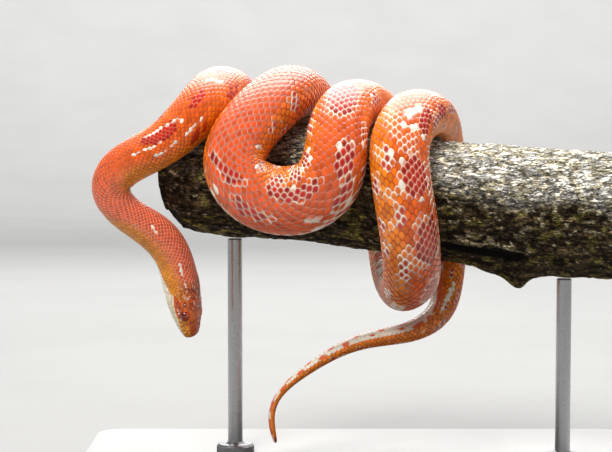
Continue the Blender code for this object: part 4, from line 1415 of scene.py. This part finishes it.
            # Middles lighter and edges darker: a painted highlight on each scale's dome and painted shade
            # at its rim.
            tone = blend(tone * (1.12 - 0.25 * share ** 2)[..., None], line, rim)
            # Skirts darkened to a third: painted shade in the gaps under the scales' edges.
            tone = tone * np.where(ring == skirt_ring, 0.32, 1.0)[:, None]
            uv = bands(s + 0 * u, np.clip(q + 0 * v, -1, 1), low, high)
            uv = uv + self.uv_spread * np.stack([u, v], axis=-1)
            self.join(f"scales_{name}", points, tone, uv, faces, paint)

    def build_scutes(self, paint: Material) -> None:
        """Wide belly scutes, single to the vent and in pairs under the tail.

        A scute is a grid in u towards the tail and v across the belly. Its
        point lies at (s + u length, q + v width), raised from front to rear,
        and its border drops to the skin.

        Args:
            paint: the scale material.
        """
        place, spots = self.scutes[0], []
        while place < self.scutes[1]:
            rows, share = next(r[2:] for r in self.regions[1:] if max(place, self.regions[1][0]) < r[1])
            step = self.scute_step * share * float(self.skin.perimeter(place)) / rows
            spots.append((place, step))
            place += step
        spots = np.array(spots)
        u = np.concatenate([[-1], np.linspace(-1, 1, 6), [1]])
        v = np.concatenate([[-1], np.linspace(-1, 1, 17), [1]])
        gu, gv = (g.ravel() for g in np.meshgrid(u, v, indexing="ij"))
        border = np.zeros((len(u), len(v)), bool)
        border[[0, -1]] = border[:, [0, -1]] = True
        border = border.ravel()
        r, c = np.indices((len(u) - 1, len(v) - 1))
        a = (r * len(v) + c).ravel()
        quads = np.stack([a, a + 1, a + len(v) + 1, a + len(v)], axis=1)
        single = spots[:, 0] < self.vent
        half_width, pair_offset, pair_width = 0.238, 0.118, 0.114
        groups = [(spots[single], 1.0, half_width)]
        groups += [(spots[~single], 1 + side * pair_offset, pair_width) for side in (-1, 1)]
        points, tones, uvs, first = [], [], [], 0
        for rows, centre, wide in groups:
            s, step = rows[:, 0:1], rows[:, 1:2]
            swept = 0.10 * (gv ** 2 if centre == 1.0 else gv * np.sign(centre - 1))
            reach = np.clip(s + (gu * 0.60 - swept) * step, *self.ends)
            turn = centre + gv * wide + 0 * s
            base, normal = self.skin.at(reach, (turn + 1) % 2 - 1)
            thick = np.minimum(0.10 * step, 1.05 * self.skin.form.coat(s))
            lift = -0.05 + 0.85 * ((gu + 1) / 2) ** 1.3 - 0.25 * ramp(np.abs(gv), 0.8, 1.0)
            lift = np.where(border, -0.3, lift)
            points.append(base + normal * (thick * lift)[..., None])
            order = first + np.arange(len(s))[:, None] + 0 * turn.astype(int)
            tones.append(self.marks.belly(reach, turn, order))
            flat = bands(s + 0 * turn, np.full_like(turn, centre / 2 - 0.5), 30.0, 960.0)
            uvs.append(flat + self.uv_spread * np.stack([gu, gv], axis=-1))
            first += len(s) if centre == 1.0 else 0
        self.join("belly_scutes", np.concatenate(points), np.concatenate(tones), np.concatenate(uvs),
                  [quads], paint)

    @staticmethod
    def join(name: str, points: Array, tones: Array, uv: Array, faces: list[Array],
             paint: Material) -> None:
        """One mesh from many copies of a template.

        Args:
            name: the piece's name.
            points: copies by points by three.
            tones: colours in the same shape.
            uv: flat places, copies by points by two.
            faces: the template's faces.
            paint: the material.
        """
        count, each = points.shape[:2]
        shift = (np.arange(count) * each)[:, None, None]
        polygons = [(f[None] + shift).reshape(-1, f.shape[1]) for f in faces]
        corners = np.concatenate([p.ravel() for p in polygons])
        piece = write_mesh(name, points.reshape(-1, 3), polygons, tones.reshape(-1, 3),
                           uv.reshape(-1, 2)[corners])
        finish_piece(piece, paint, "snake_orange")


# The snake's skin, head and eyes

@dataclass
class Plate:
    """One plate of the head: place, half sizes and tone."""

    s: float
    q: float
    long: float
    wide: float
    tone: Tone


@dataclass
class Snake:
    """The whole animal: skin, plates of the head, scales, scutes and eyes."""

    form: Form
    marks: Markings = field(default_factory=Markings)
    eye_radius: float = 2.6
    eye_station: float = 11.2
    eye_height: float = 2.2
    eye_sunk: float = 1.85
    nostril_station: float = 2.3
    nostril_height: float = 1.2
    plates: tuple[Plate, ...] = (
        Plate(0.2, 0, 1, 1.9, Tone.SNOUT), Plate(0.4, 1, 1, 1.4, Tone.CHIN),
        Plate(2.2, 0.15, 1.1, 1.2, Tone.SNOUT), Plate(4.7, 0.16, 1.5, 1.7, Tone.CROWN),
        Plate(9.6, 0, 2.7, 1.35, Tone.TEMPLE), Plate(10.2, 0.23, 2.4, 1.1, Tone.TEMPLE),
        Plate(15.2, 0.13, 3.1, 2.1, Tone.CROWN), Plate(2.2, 0.42, 1.2, 0.9, Tone.SNOUT),
        Plate(5, 0.44, 1.5, 0.9, Tone.SNOUT), Plate(7.7, 0.43, 0.9, 1.3, Tone.SNOUT),
        Plate(14.2, 0.37, 0.8, 0.8, Tone.TEMPLE), Plate(14.3, 0.47, 0.8, 0.8, Tone.SNOUT),
        Plate(16.1, 0.32, 1.1, 0.9, Tone.TEMPLE), Plate(16.3, 0.42, 1.2, 0.8, Tone.TEMPLE),
        Plate(16.4, 0.51, 1.2, 0.8, Tone.SNOUT), Plate(18.4, 0.36, 1.1, 0.8, Tone.TEMPLE),
        Plate(18.6, 0.45, 1.1, 0.8, Tone.TEMPLE), Plate(18.8, 0.54, 1.1, 0.8, Tone.SNOUT),
    )
    chin: tuple = (
        (4.4, 0.93, 2.2, 1.1), (8.8, 0.92, 2.2, 1.1), (6.4, 0.82, 1.2, 0.9), (8.8, 0.81, 1.2, 0.9),
        (11.2, 0.80, 1.2, 0.9), (12, 0.90, 1.2, 0.9), (13.6, 0.80, 1.2, 0.9), (12.4, 1, 1.3, 0.8),
        (14.3, 0.90, 1.2, 0.9), (16, 0.80, 1.2, 0.9), (18.3, 0.80, 1.2, 0.9),
    )
    upper_lips: tuple = (1.2, 3, 5, 7.1, 9.3, 11.7, 14.3, 17.2)
    lower_lips: tuple = (1.3, 2.7, 4.3, 6, 7.8, 9.7, 11.7, 13.8, 16, 18.3)

    def build(self) -> None:
        """Make and dress every piece of the animal."""
        skin = Skin(self.form)
        self.build_skin(skin, horn("skin_between", (0.42, 0.6), 0.1))
        coat = Coat(skin, self.marks)
        self.build_plates(coat, horn("head_horn", coat=0.25, size=700.0))
        self.build_eyes(EYE.material())
        coat.build_scales(horn("scale_horn"))
        coat.build_scutes(horn("belly_horn", (0.22, 0.34)))

    @staticmethod
    def lip_columns(count: int, close: float) -> Array:
        """Turns from -1 to 1, set closer at the lips.

        The spacing is the inverse of 1 + close exp(-((|q| - LIP) / 0.03)^2).

        Args:
            count: columns in all, an even number.
            close: how much closer they are at the lips.

        Returns:
            The turns, without the last that meets the first.
        """
        fine = np.linspace(0, 1, 4001)
        weight = np.cumsum(1 + close * bump(fine, LIP, 0.03))
        half = np.interp(np.linspace(weight[0], weight[-1], count // 2 + 1), weight, fine)
        return np.concatenate([-half[:0:-1], half[:-1]])

    def tube(self, name: str, s: Array, q: Array, points: Array, tones: Array, tips: Array,
             span: tuple[float, float], paint: Material, *nodes: str) -> None:
        """Closed tube from a grid, with its unwrap in strips.

        Args:
            name: the piece's name.
            s: length of each row.
            q: turn of each column.
            points: rows by columns by three.
            tones: colours in the same shape.
            tips: the two closing points.
            span: first and last length of the unwrap.
            paint: the material.
            nodes: solids that it stands for.
        """
        rows, columns = points.shape[:2]
        every = np.concatenate([points.reshape(-1, 3), tips])
        shades = np.concatenate([tones.reshape(-1, 3), tones[[0, -1]].mean(axis=1)])
        wide = np.append(q, 1.0)
        r, c = np.indices((rows - 1, columns))
        r, c = r.reshape(-1, 1), c.reshape(-1, 1)
        row, col = r + np.array([[0, 0, 1, 1]]), c + np.array([[0, 1, 1, 0]])
        flat = bands(s[row], wide[col], *span)
        near = bands(s[r] + 0 * row, wide[col], *span)
        torn = np.abs(flat[..., 1] - near[..., 1]) > 0.1
        near[..., 0] = np.where(torn, 0.996, near[..., 0])
        flat = np.where(torn[..., None], near, flat)
        k = np.arange(columns)
        caps = []
        for at, order in ((s[0], (1, 0)), (s[-1], (0, 1))):
            ring = [bands(np.full(columns, at), wide[k + o], *span) for o in order]
            ring.append((ring[0] + ring[1]) / 2)
            caps.append(np.stack(ring, axis=1).reshape(-1, 2))
        piece = write_mesh(name, every, tube_faces(rows, columns), shades,
                           np.concatenate([flat.reshape(-1, 2), *caps]))
        finish_piece(piece, paint, "snake_orange", *nodes)

    def build_skin(self, skin: Skin, paint: Material) -> None:
        """One skin from snout to tail tip, sunk by the coat's depth.

        Args:
            skin: the skin's table, for its depth.
            paint: the skin material.
        """
        fine, coarse = 0.42, 2.25
        head = np.concatenate([[0.1, 0.4, 0.8], np.arange(1.3, 34, fine)])
        body = np.arange(34.2, self.form.length - 1.2, coarse)
        s = np.concatenate([head, body, [self.form.length - 1.0]])
        q = self.lip_columns(160, 1.0)
        points = self.form.surface(s, q, skin.depth(s))
        grid_s, grid_q = np.meshgrid(s, q, indexing="ij")
        place, _, back = self.form.frames(np.array([0.0, self.form.length]))
        tips = np.array([place[0] - 0.5 * back[0], place[1]])
        tips[0] += 0.25 * self.form.tangent(np.array([0.0]))[0]
        nodes = [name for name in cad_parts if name.startswith(("head", "neck", "body_", "tail_"))]
        self.tube("skin", s, q, points, self.marks.skin(grid_s, grid_q), tips, (0.0, 962.0), paint, *nodes)

    def all_plates(self) -> list[Plate]:
        """The plates with the chin's and both rows of lip plates added."""
        chin = [Plate(*row, Tone.CHIN) for row in self.chin]
        upper = [Plate(s, 0.600, 1.15, 1.15, Tone.LIPS) for s in self.upper_lips]
        lower = [Plate(s, 0.718, 0.95, 1.05, Tone.LIPS) for s in self.lower_lips]
        return [*self.plates, *chin, *upper, *lower]

    def cells(self, s: Array, q: Array, run: Array) -> tuple[Array, Array, Array]:
        """Which plate each place is on, and how far it is from the plate's edge.

        A place belongs to the plate with the least
        ((ds / long)^2 + (dacross / wide)^2)^(1/2). The edge is where the two
        least are equal, and their difference over the sum of their slopes is
        the distance to it.

        Args:
            s: length of each row.
            q: turn of each column.
            run: distance of each place from the back's middle, on the surface.

        Returns:
            Plate numbers, distances to the edge, and shares from middle to edge.
        """
        far = []
        plates = self.all_plates()
        turn = np.abs(q)
        half = q >= 0
        for plate in plates:
            at = np.array([np.interp(plate.q, turn[half], row[half]) for row in run])[:, None]
            far.append(np.hypot((s[:, None] - plate.s) / plate.long, (run - at) / plate.wide))
        far = np.stack(far)
        order = np.argsort(far, axis=0)[:2]
        least, second = np.take_along_axis(far, order, axis=0)
        size = np.array([(p.long + p.wide) / 2 for p in plates])
        edge = (second - least) / (1 / size[order[0]] + 1 / size[order[1]])
        return order[0], edge, least / np.maximum(second, 1e-6)

    def build_plates(self, coat: Coat, paint: Material) -> None:
        """The head's plated surface, a fine shell that dives under the scales.

        The head's form is moved along its normals: down in the seams between
        plates, the lips' line, the nostrils and the sockets, up a little at
        the middle of each plate, and down where small scales take over.

        Args:
            coat: the coat, for where its scales start.
            paint: the material.
        """
        s = np.concatenate([[0.02, 0.06, 0.12, 0.2, 0.3, 0.42], np.arange(0.55, 24.5, 0.17)])
        q = self.lip_columns(320, 2.0)
        points = self.form.surface(s, q, np.minimum(0.13, 0.1 * self.form.width(s)))
        normal = outward(points)
        middle = int(np.argmin(np.abs(q)))
        run = run_along(points)
        run = np.abs(run - run[:, middle:middle + 1])
        number, edge, share = self.cells(s, q, run)
        turn = np.abs(q)[None, :]
        grid_s = s[:, None] + 0 * turn
        lip_run = np.array([np.interp(LIP, q[middle:], row[middle:]) for row in run])[:, None]
        lip = np.abs(run - lip_run)
        corner = ramp(s, 20.2, 18.4)[:, None] * ramp(s, 0.0, 0.8)[:, None]
        soft = ramp(grid_s, 0.1, 1.2)
        move = -0.15 * bump(edge, 0, 0.14) * soft + 0.05 * (1 - share ** 2) * soft
        move -= 0.55 * corner * bump(lip, 0, 0.17)
        move += 0.09 * corner * bump(lip, 0.65, 0.4)
        move -= 0.22 * bump(grid_s, 5.8, 2.2) * bump(turn, 0.47, 0.07)
        move += 0.14 * bump(grid_s, 6.4, 3.2) * bump(turn, 0.33, 0.05)
        move += 0.10 * bump(grid_s, 16.5, 2.6) * bump(turn, 0.52, 0.10)
        eye_dark = np.zeros_like(move)
        nostril = np.zeros_like(move)
        for hand in Hand:
            eye = self.eye_centre(hand)
            away = np.linalg.norm(points - eye, axis=2)
            move -= 0.75 * ramp(away, self.eye_radius + 0.28, self.eye_radius - 0.10)
            move += 0.14 * bump(away, self.eye_radius + 0.50, 0.28)
            eye_dark = np.maximum(eye_dark, ramp(away, self.eye_radius + 0.95, self.eye_radius + 0.05))
            out = self.form.half_width(self.nostril_station, self.nostril_height)
            pit = self.form.head_point(self.nostril_station, out, self.nostril_height, hand)
            away = np.linalg.norm(points - pit, axis=2)
            move -= 0.75 * bump(away, 0, 0.40)
            move += 0.08 * bump(away, 0.75, 0.25)
            nostril = np.maximum(nostril, bump(away, 0, 0.42))
        dive = ramp(grid_s - coat.start(q)[None, :], 0.7, 2.4)
        move -= 1.3 * dive
        points = points + normal * move[..., None]
        tones = self.plate_tones(grid_s, q, number, edge, lip / np.maximum(corner, 0.05), eye_dark, nostril)
        place, _, back = self.form.frames(np.array([0.0, s[-1]]))
        tips = np.array([place[0] - 0.3 * back[0], place[1]])
        self.tube("head_plates", s, q, points, tones, tips, (0.0, 24.6), paint)

    def plate_tones(self, s: Array, q: Array, number: Array, edge: Array, lip: Array, eye_dark: Array,
                    nostril: Array) -> Array:
        """Colours of the head, plate by plate, with seams, flecks and nostrils painted near black as shade
        in the pits.

        Args:
            s: lengths, rows by columns.
            q: turn of each column.
            number: plate of each place.
            edge: distance to the plate's edge.
            lip: distance to the lips' line.
            eye_dark: 1 at the rim of an eye.
            nostril: 1 in a nostril.

        Returns:
            Linear colours.
        """
        plates = self.all_plates()
        rng = np.random.default_rng(23)
        palette = np.array([plate.tone.rgb for plate in plates])
        palette *= rng.uniform(0.90, 1.10, (len(plates), 1))
        tone = palette[number]
        turn = np.abs(q)[None, :] + 0 * s
        patch = cloud(s / 30, (q[None, :] + 1) / 2 + 0 * s, (9, 14), 43, 3)
        fleck = cloud(s / 30, (q[None, :] + 1) / 2 + 0 * s, (22, 40), 53, 2)
        front = ramp(s, 12.6, 11.0) * ramp(s, 4.6, 6.4) * ramp(turn, 0.40, 0.34)
        lean = 1 - turn / 0.3
        bars = np.maximum(bump(s - 1.2 * lean, 7.3, 0.6), bump(s - 0.8 * lean, 5.2, 0.5))
        cheek = ramp(turn + 0.30 * (patch - 0.5), 0.30, 0.44) * ramp(s, 9.4, 7.6) * ramp(turn, 0.18, 0.30)
        tone = layered(
            tone * (0.86 + 0.30 * patch)[..., None],
            ((0.74, 0.150, 0.008), 0.75 * front),
            (Tone.STRIPE.rgb * 1.6, 0.6 * bars * ramp(turn, 0.40, 0.30)),
            (Tone.CHEEK.rgb * (0.75 + 0.5 * patch)[..., None], 0.95 * cheek))
        white = ramp(turn - 0.05 * ramp(s, 9.0, 3.5), 0.592, 0.612) * ramp(eye_dark, 0.40, 0.10)
        orange = blend(Tone.TEMPLE.rgb, Tone.CHEEK.rgb, ramp(s, 12.0, 9.0))
        tone = np.where((turn > 0.545)[..., None], blend(orange, Tone.LIPS.rgb, white), tone)
        stripe = bump(turn - 0.016 * (s - 13.5), 0.455, 0.035) * ramp(s, 12.6, 13.4)
        coats = [(Tone.STRIPE.rgb * 1.5, 0.55 * stripe)]
        for at, height, size in ((16.3, 0.375, 0.72), (14.2, 0.035, 0.62)):
            away = np.hypot(s - at, 25 * (turn - height)) / size
            coats += [(Tone.STRIPE.rgb * 0.6, 0.95 * ramp(away, 1.5, 1.15)),
                      (Tone.PALE.rgb, ramp(away, 0.66, 0.42))]
        back = ramp(s, 12.5, 14.0) * ramp(turn, 0.44, 0.34)
        tone = layered(
            tone, *coats,
            (Tone.PALE.rgb, 0.75 * back * ramp(fleck, 0.70, 0.77)),
            (Tone.STRIPE.rgb * 1.3, 0.6 * back * ramp(fleck, 0.36, 0.28)))
        seam = blend((0.32, 0.10, 0.08), (0.78, 0.66, 0.54), white)
        tone = blend(tone, tone * seam, 0.9 * bump(edge, 0, 0.16))
        tone = blend(tone, tone * np.array([0.42, 0.26, 0.20]), 0.8 * bump(lip, 0, 0.13))
        lid, pit = (0.30, 0.036, 0.006), (0.03, 0.008, 0.005)
        # Nostrils painted near black: painted shade in the pits.
        return layered(tone, (lid, 0.7 * ramp(eye_dark, 0.60, 0.95)), (pit, nostril))

    def eye_centre(self, hand: Hand) -> Array:
        """Middle of the eyeball on one hand."""
        out = self.form.half_width(self.eye_station, self.eye_height) - self.eye_sunk
        return self.form.head_point(self.eye_station, out, self.eye_height, hand)

    def build_eyes(self, paint: Material) -> None:
        """Two eyeballs with their poles facing out, iris and pupil in rings.

        A point at angle a from the gaze and b round it lies at
        centre + R (cos a gaze + sin a (cos b up + sin b across)).

        Args:
            paint: the eye material.
        """
        rows, columns, pole = 40, 48, 0.04
        a = np.linspace(pole, math.pi - pole, rows)[:, None]
        b = np.linspace(0, 2 * math.pi, columns, endpoint=False)[None, :]
        for hand in Hand:
            centre = self.eye_centre(hand)
            _, side, back = (row[0] for row in self.form.frames(np.array([self.eye_station])))
            gaze = unit(side * hand.value + 0.12 * back)
            up = unit(back - gaze * back.dot(gaze))
            across = np.cross(gaze, up)
            reach = 0.99 * self.eye_radius
            ring = np.cos(b)[..., None] * up + np.sin(b)[..., None] * across
            points = centre + reach * (np.cos(a)[..., None] * gaze + np.sin(a)[..., None] * ring)
            out = reach * np.sin(a) + 0 * b
            streak = cloud(b / (2 * math.pi) + 0 * a, out / 4, (34, 3), 63, 2)
            lid, pupil = (0.40, 0.060, 0.008), (0.050, 0.003, 0.003)
            tone = layered(np.array([0.13, 0.008, 0.005]), ((0.27, 0.026, 0.012), streak),
                           (pupil, ramp(out, 0.98, 0.86)), (lid, ramp(out, 1.62, 1.80)))
            tone = np.where((a > 1.2)[..., None], lid, tone)
            points = np.concatenate([points.reshape(-1, 3), centre + np.array([gaze, -gaze]) * reach])
            tones = np.concatenate([tone.reshape(-1, 3), tone[0, :1], tone[-1, :1]])
            name = f"eye_{hand.name.lower()}"
            piece = write_mesh(f"visual_{name}", points, tube_faces(rows, columns, True), tones)
            finish_piece(piece, paint, "eye_ruby", name)


# Stand, floor, light and camera

@dataclass
class Stand:
    """Base plate and rods, whose solids stay and are given their finishes."""

    base: str = "stand_base"
    rods: tuple[str, str] = ("stand_rod_left", "stand_rod_right")

    def dress(self) -> None:
        """Put the finishes on the solids' own slots; the plate throws no light up."""
        steel = STEEL.material()
        for name, paint in [(self.base, SATIN.material()), *[(rod, steel) for rod in self.rods]]:
            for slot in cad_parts[name].material_slots:
                slot.material = paint
            log.info("%s dressed", name)
        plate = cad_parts[self.base]
        plate.visible_diffuse = plate.visible_glossy = False


@dataclass(frozen=True)
class Lamp:
    """A soft rectangular lamp, in metres and watts.

    Seen says whether glossy surfaces reflect it, and eyes_only whether it
    lights the eyes alone.
    """

    name: str
    place: tuple[float, float, float]
    target: tuple[float, float, float]
    size: tuple[float, float]
    power: float
    seen: bool = True
    eyes_only: bool = False


@dataclass
class Studio:
    """Pale floor that sweeps up far off, soft light and the camera."""

    floor_flat: float = 2000.0
    floor_sweep: float = 1600.0
    sweep_height: float = 1000.0
    floor_sides: int = 96
    lamps: tuple[Lamp, ...] = (
        Lamp("sky", (0.05, 0.36, 1.00), (0.0, 0.0, 0.12), (1.0, 0.60), 15.0),
        Lamp("key", (-0.45, -0.80, 1.15), (-0.02, 0.0, 0.13), (0.5, 0.5), 18.0, seen=False),
        Lamp("catch", (-0.36, -0.75, 0.80), (-0.05, 0.0, 0.05), (0.24, 0.24), 5.0, eyes_only=True),
        Lamp("side", (1.1, -0.6, 0.5), (0.0, 0.0, 0.12), (0.6, 0.8), 1.5, seen=False),
        Lamp("rim", (0.0, 0.95, 0.68), (0.0, 0.0, 0.14), (1.1, 0.25), 7.0),
        Lamp("backdrop", (0.0, 2.6, 1.9), (0.0, 3.1, 0.1), (3.2, 1.4), 34.0),
    )
    camera_place: tuple = (-0.028, -0.80755, 0.1738)
    camera_tilt: float = 86.0
    lens: float = 100.1
    sensor: float = 36.0
    clip: tuple[float, float] = (0.01, 50.0)

    def build(self) -> None:
        """Set out floor, lamps, world and camera."""
        self.lay_floor()
        for lamp in self.lamps:
            self.hang_lamp(lamp)
        self.light_world()
        self.set_camera()

    def lay_floor(self) -> None:
        """Round floor at z = 0 whose rim sweeps up as a quarter of an ellipse; its tone is darker near the
        middle, a painted shade round the stand, and paler far off, painted light on the sweep.
        """
        turn = np.linspace(0, 2 * math.pi, self.floor_sides, endpoint=False)[None, :]
        rise = np.linspace(0, math.pi / 2, 26)
        flat = np.array([150.0, 500.0, 800.0, 1100.0, 1400.0, 1700.0])
        reach = np.concatenate([flat, self.floor_flat + self.floor_sweep * np.sin(rise)])[:, None]
        high = np.concatenate([0 * flat, self.sweep_height * (1 - np.cos(rise))])[:, None]
        points = np.stack([reach * np.cos(turn), reach * np.sin(turn), high + 0 * turn], axis=-1)
        points = np.concatenate([points.reshape(-1, 3), np.zeros((1, 3))])
        faces = tube_faces(len(reach), self.floor_sides, True)[:2]
        # Darker within half a metre: painted shade that also keeps bounce off the snake's underside; paler
        # towards the sweep: painted light that brightens the far floor.
        pale = blend((0.34, 0.337, 0.326), (0.80, 0.795, 0.78),
                     ramp(np.linalg.norm(points[:, :2], axis=1), 500, 1900))
        floor = write_mesh("floor", points, faces, pale)
        floor.data.materials.append(FLOOR.material())

    @staticmethod
    def hang_lamp(lamp: Lamp) -> None:
        """Hang a lamp and turn it to its target."""
        data = bpy.data.lights.new(lamp.name, "AREA")
        data.shape = "RECTANGLE"
        data.size, data.size_y = lamp.size
        data.energy = lamp.power
        made = bpy.data.objects.new(lamp.name, data)
        made.visible_glossy = lamp.seen
        bpy.context.scene.collection.objects.link(made)
        made.location = lamp.place
        away = np.array(lamp.place) - np.array(lamp.target)
        made.rotation_euler = (math.atan2(math.hypot(away[0], away[1]), away[2]), 0.0,
                               math.atan2(away[0], -away[1]))
        if lamp.eyes_only:
            eyes = bpy.data.collections.new("eyes")
            for hand in Hand:
                eyes.objects.link(bpy.data.objects[f"visual_eye_{hand.name.lower()}"])
            made.light_linking.receiver_collection = eyes

    @staticmethod
    def light_world() -> None:
        """Plain pale surroundings."""
        world = bpy.data.worlds.new("pale_surroundings")
        world.use_nodes = True
        set_inputs(world.node_tree.nodes["Background"], {"Color": (0.93, 0.95, 1.0, 1.0), "Strength": 0.16})
        bpy.context.scene.world = world
        bpy.context.scene.view_settings.view_transform = "Standard"

    def set_camera(self) -> None:
        """The camera at the photograph's angle and framing."""
        data = bpy.data.cameras.new("camera")
        data.lens = self.lens
        data.sensor_width = self.sensor
        data.clip_start, data.clip_end = self.clip
        camera = bpy.data.objects.new("camera", data)
        camera.location = self.camera_place
        camera.rotation_euler = (math.radians(self.camera_tilt), 0.0, 0.0)
        bpy.context.scene.collection.objects.link(camera)
        bpy.context.scene.camera = camera


def main() -> None:
    """Build the perch, the snake, the stand and the studio in order."""
    logging.basicConfig(level=logging.INFO, format="%(name)s: %(message)s")
    perch = Perch()
    perch.build(BARK.material())
    Snake(Form(perch)).build()
    Stand().dress()
    Studio().build()
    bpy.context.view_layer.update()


if __name__ == "__main__":
    main()
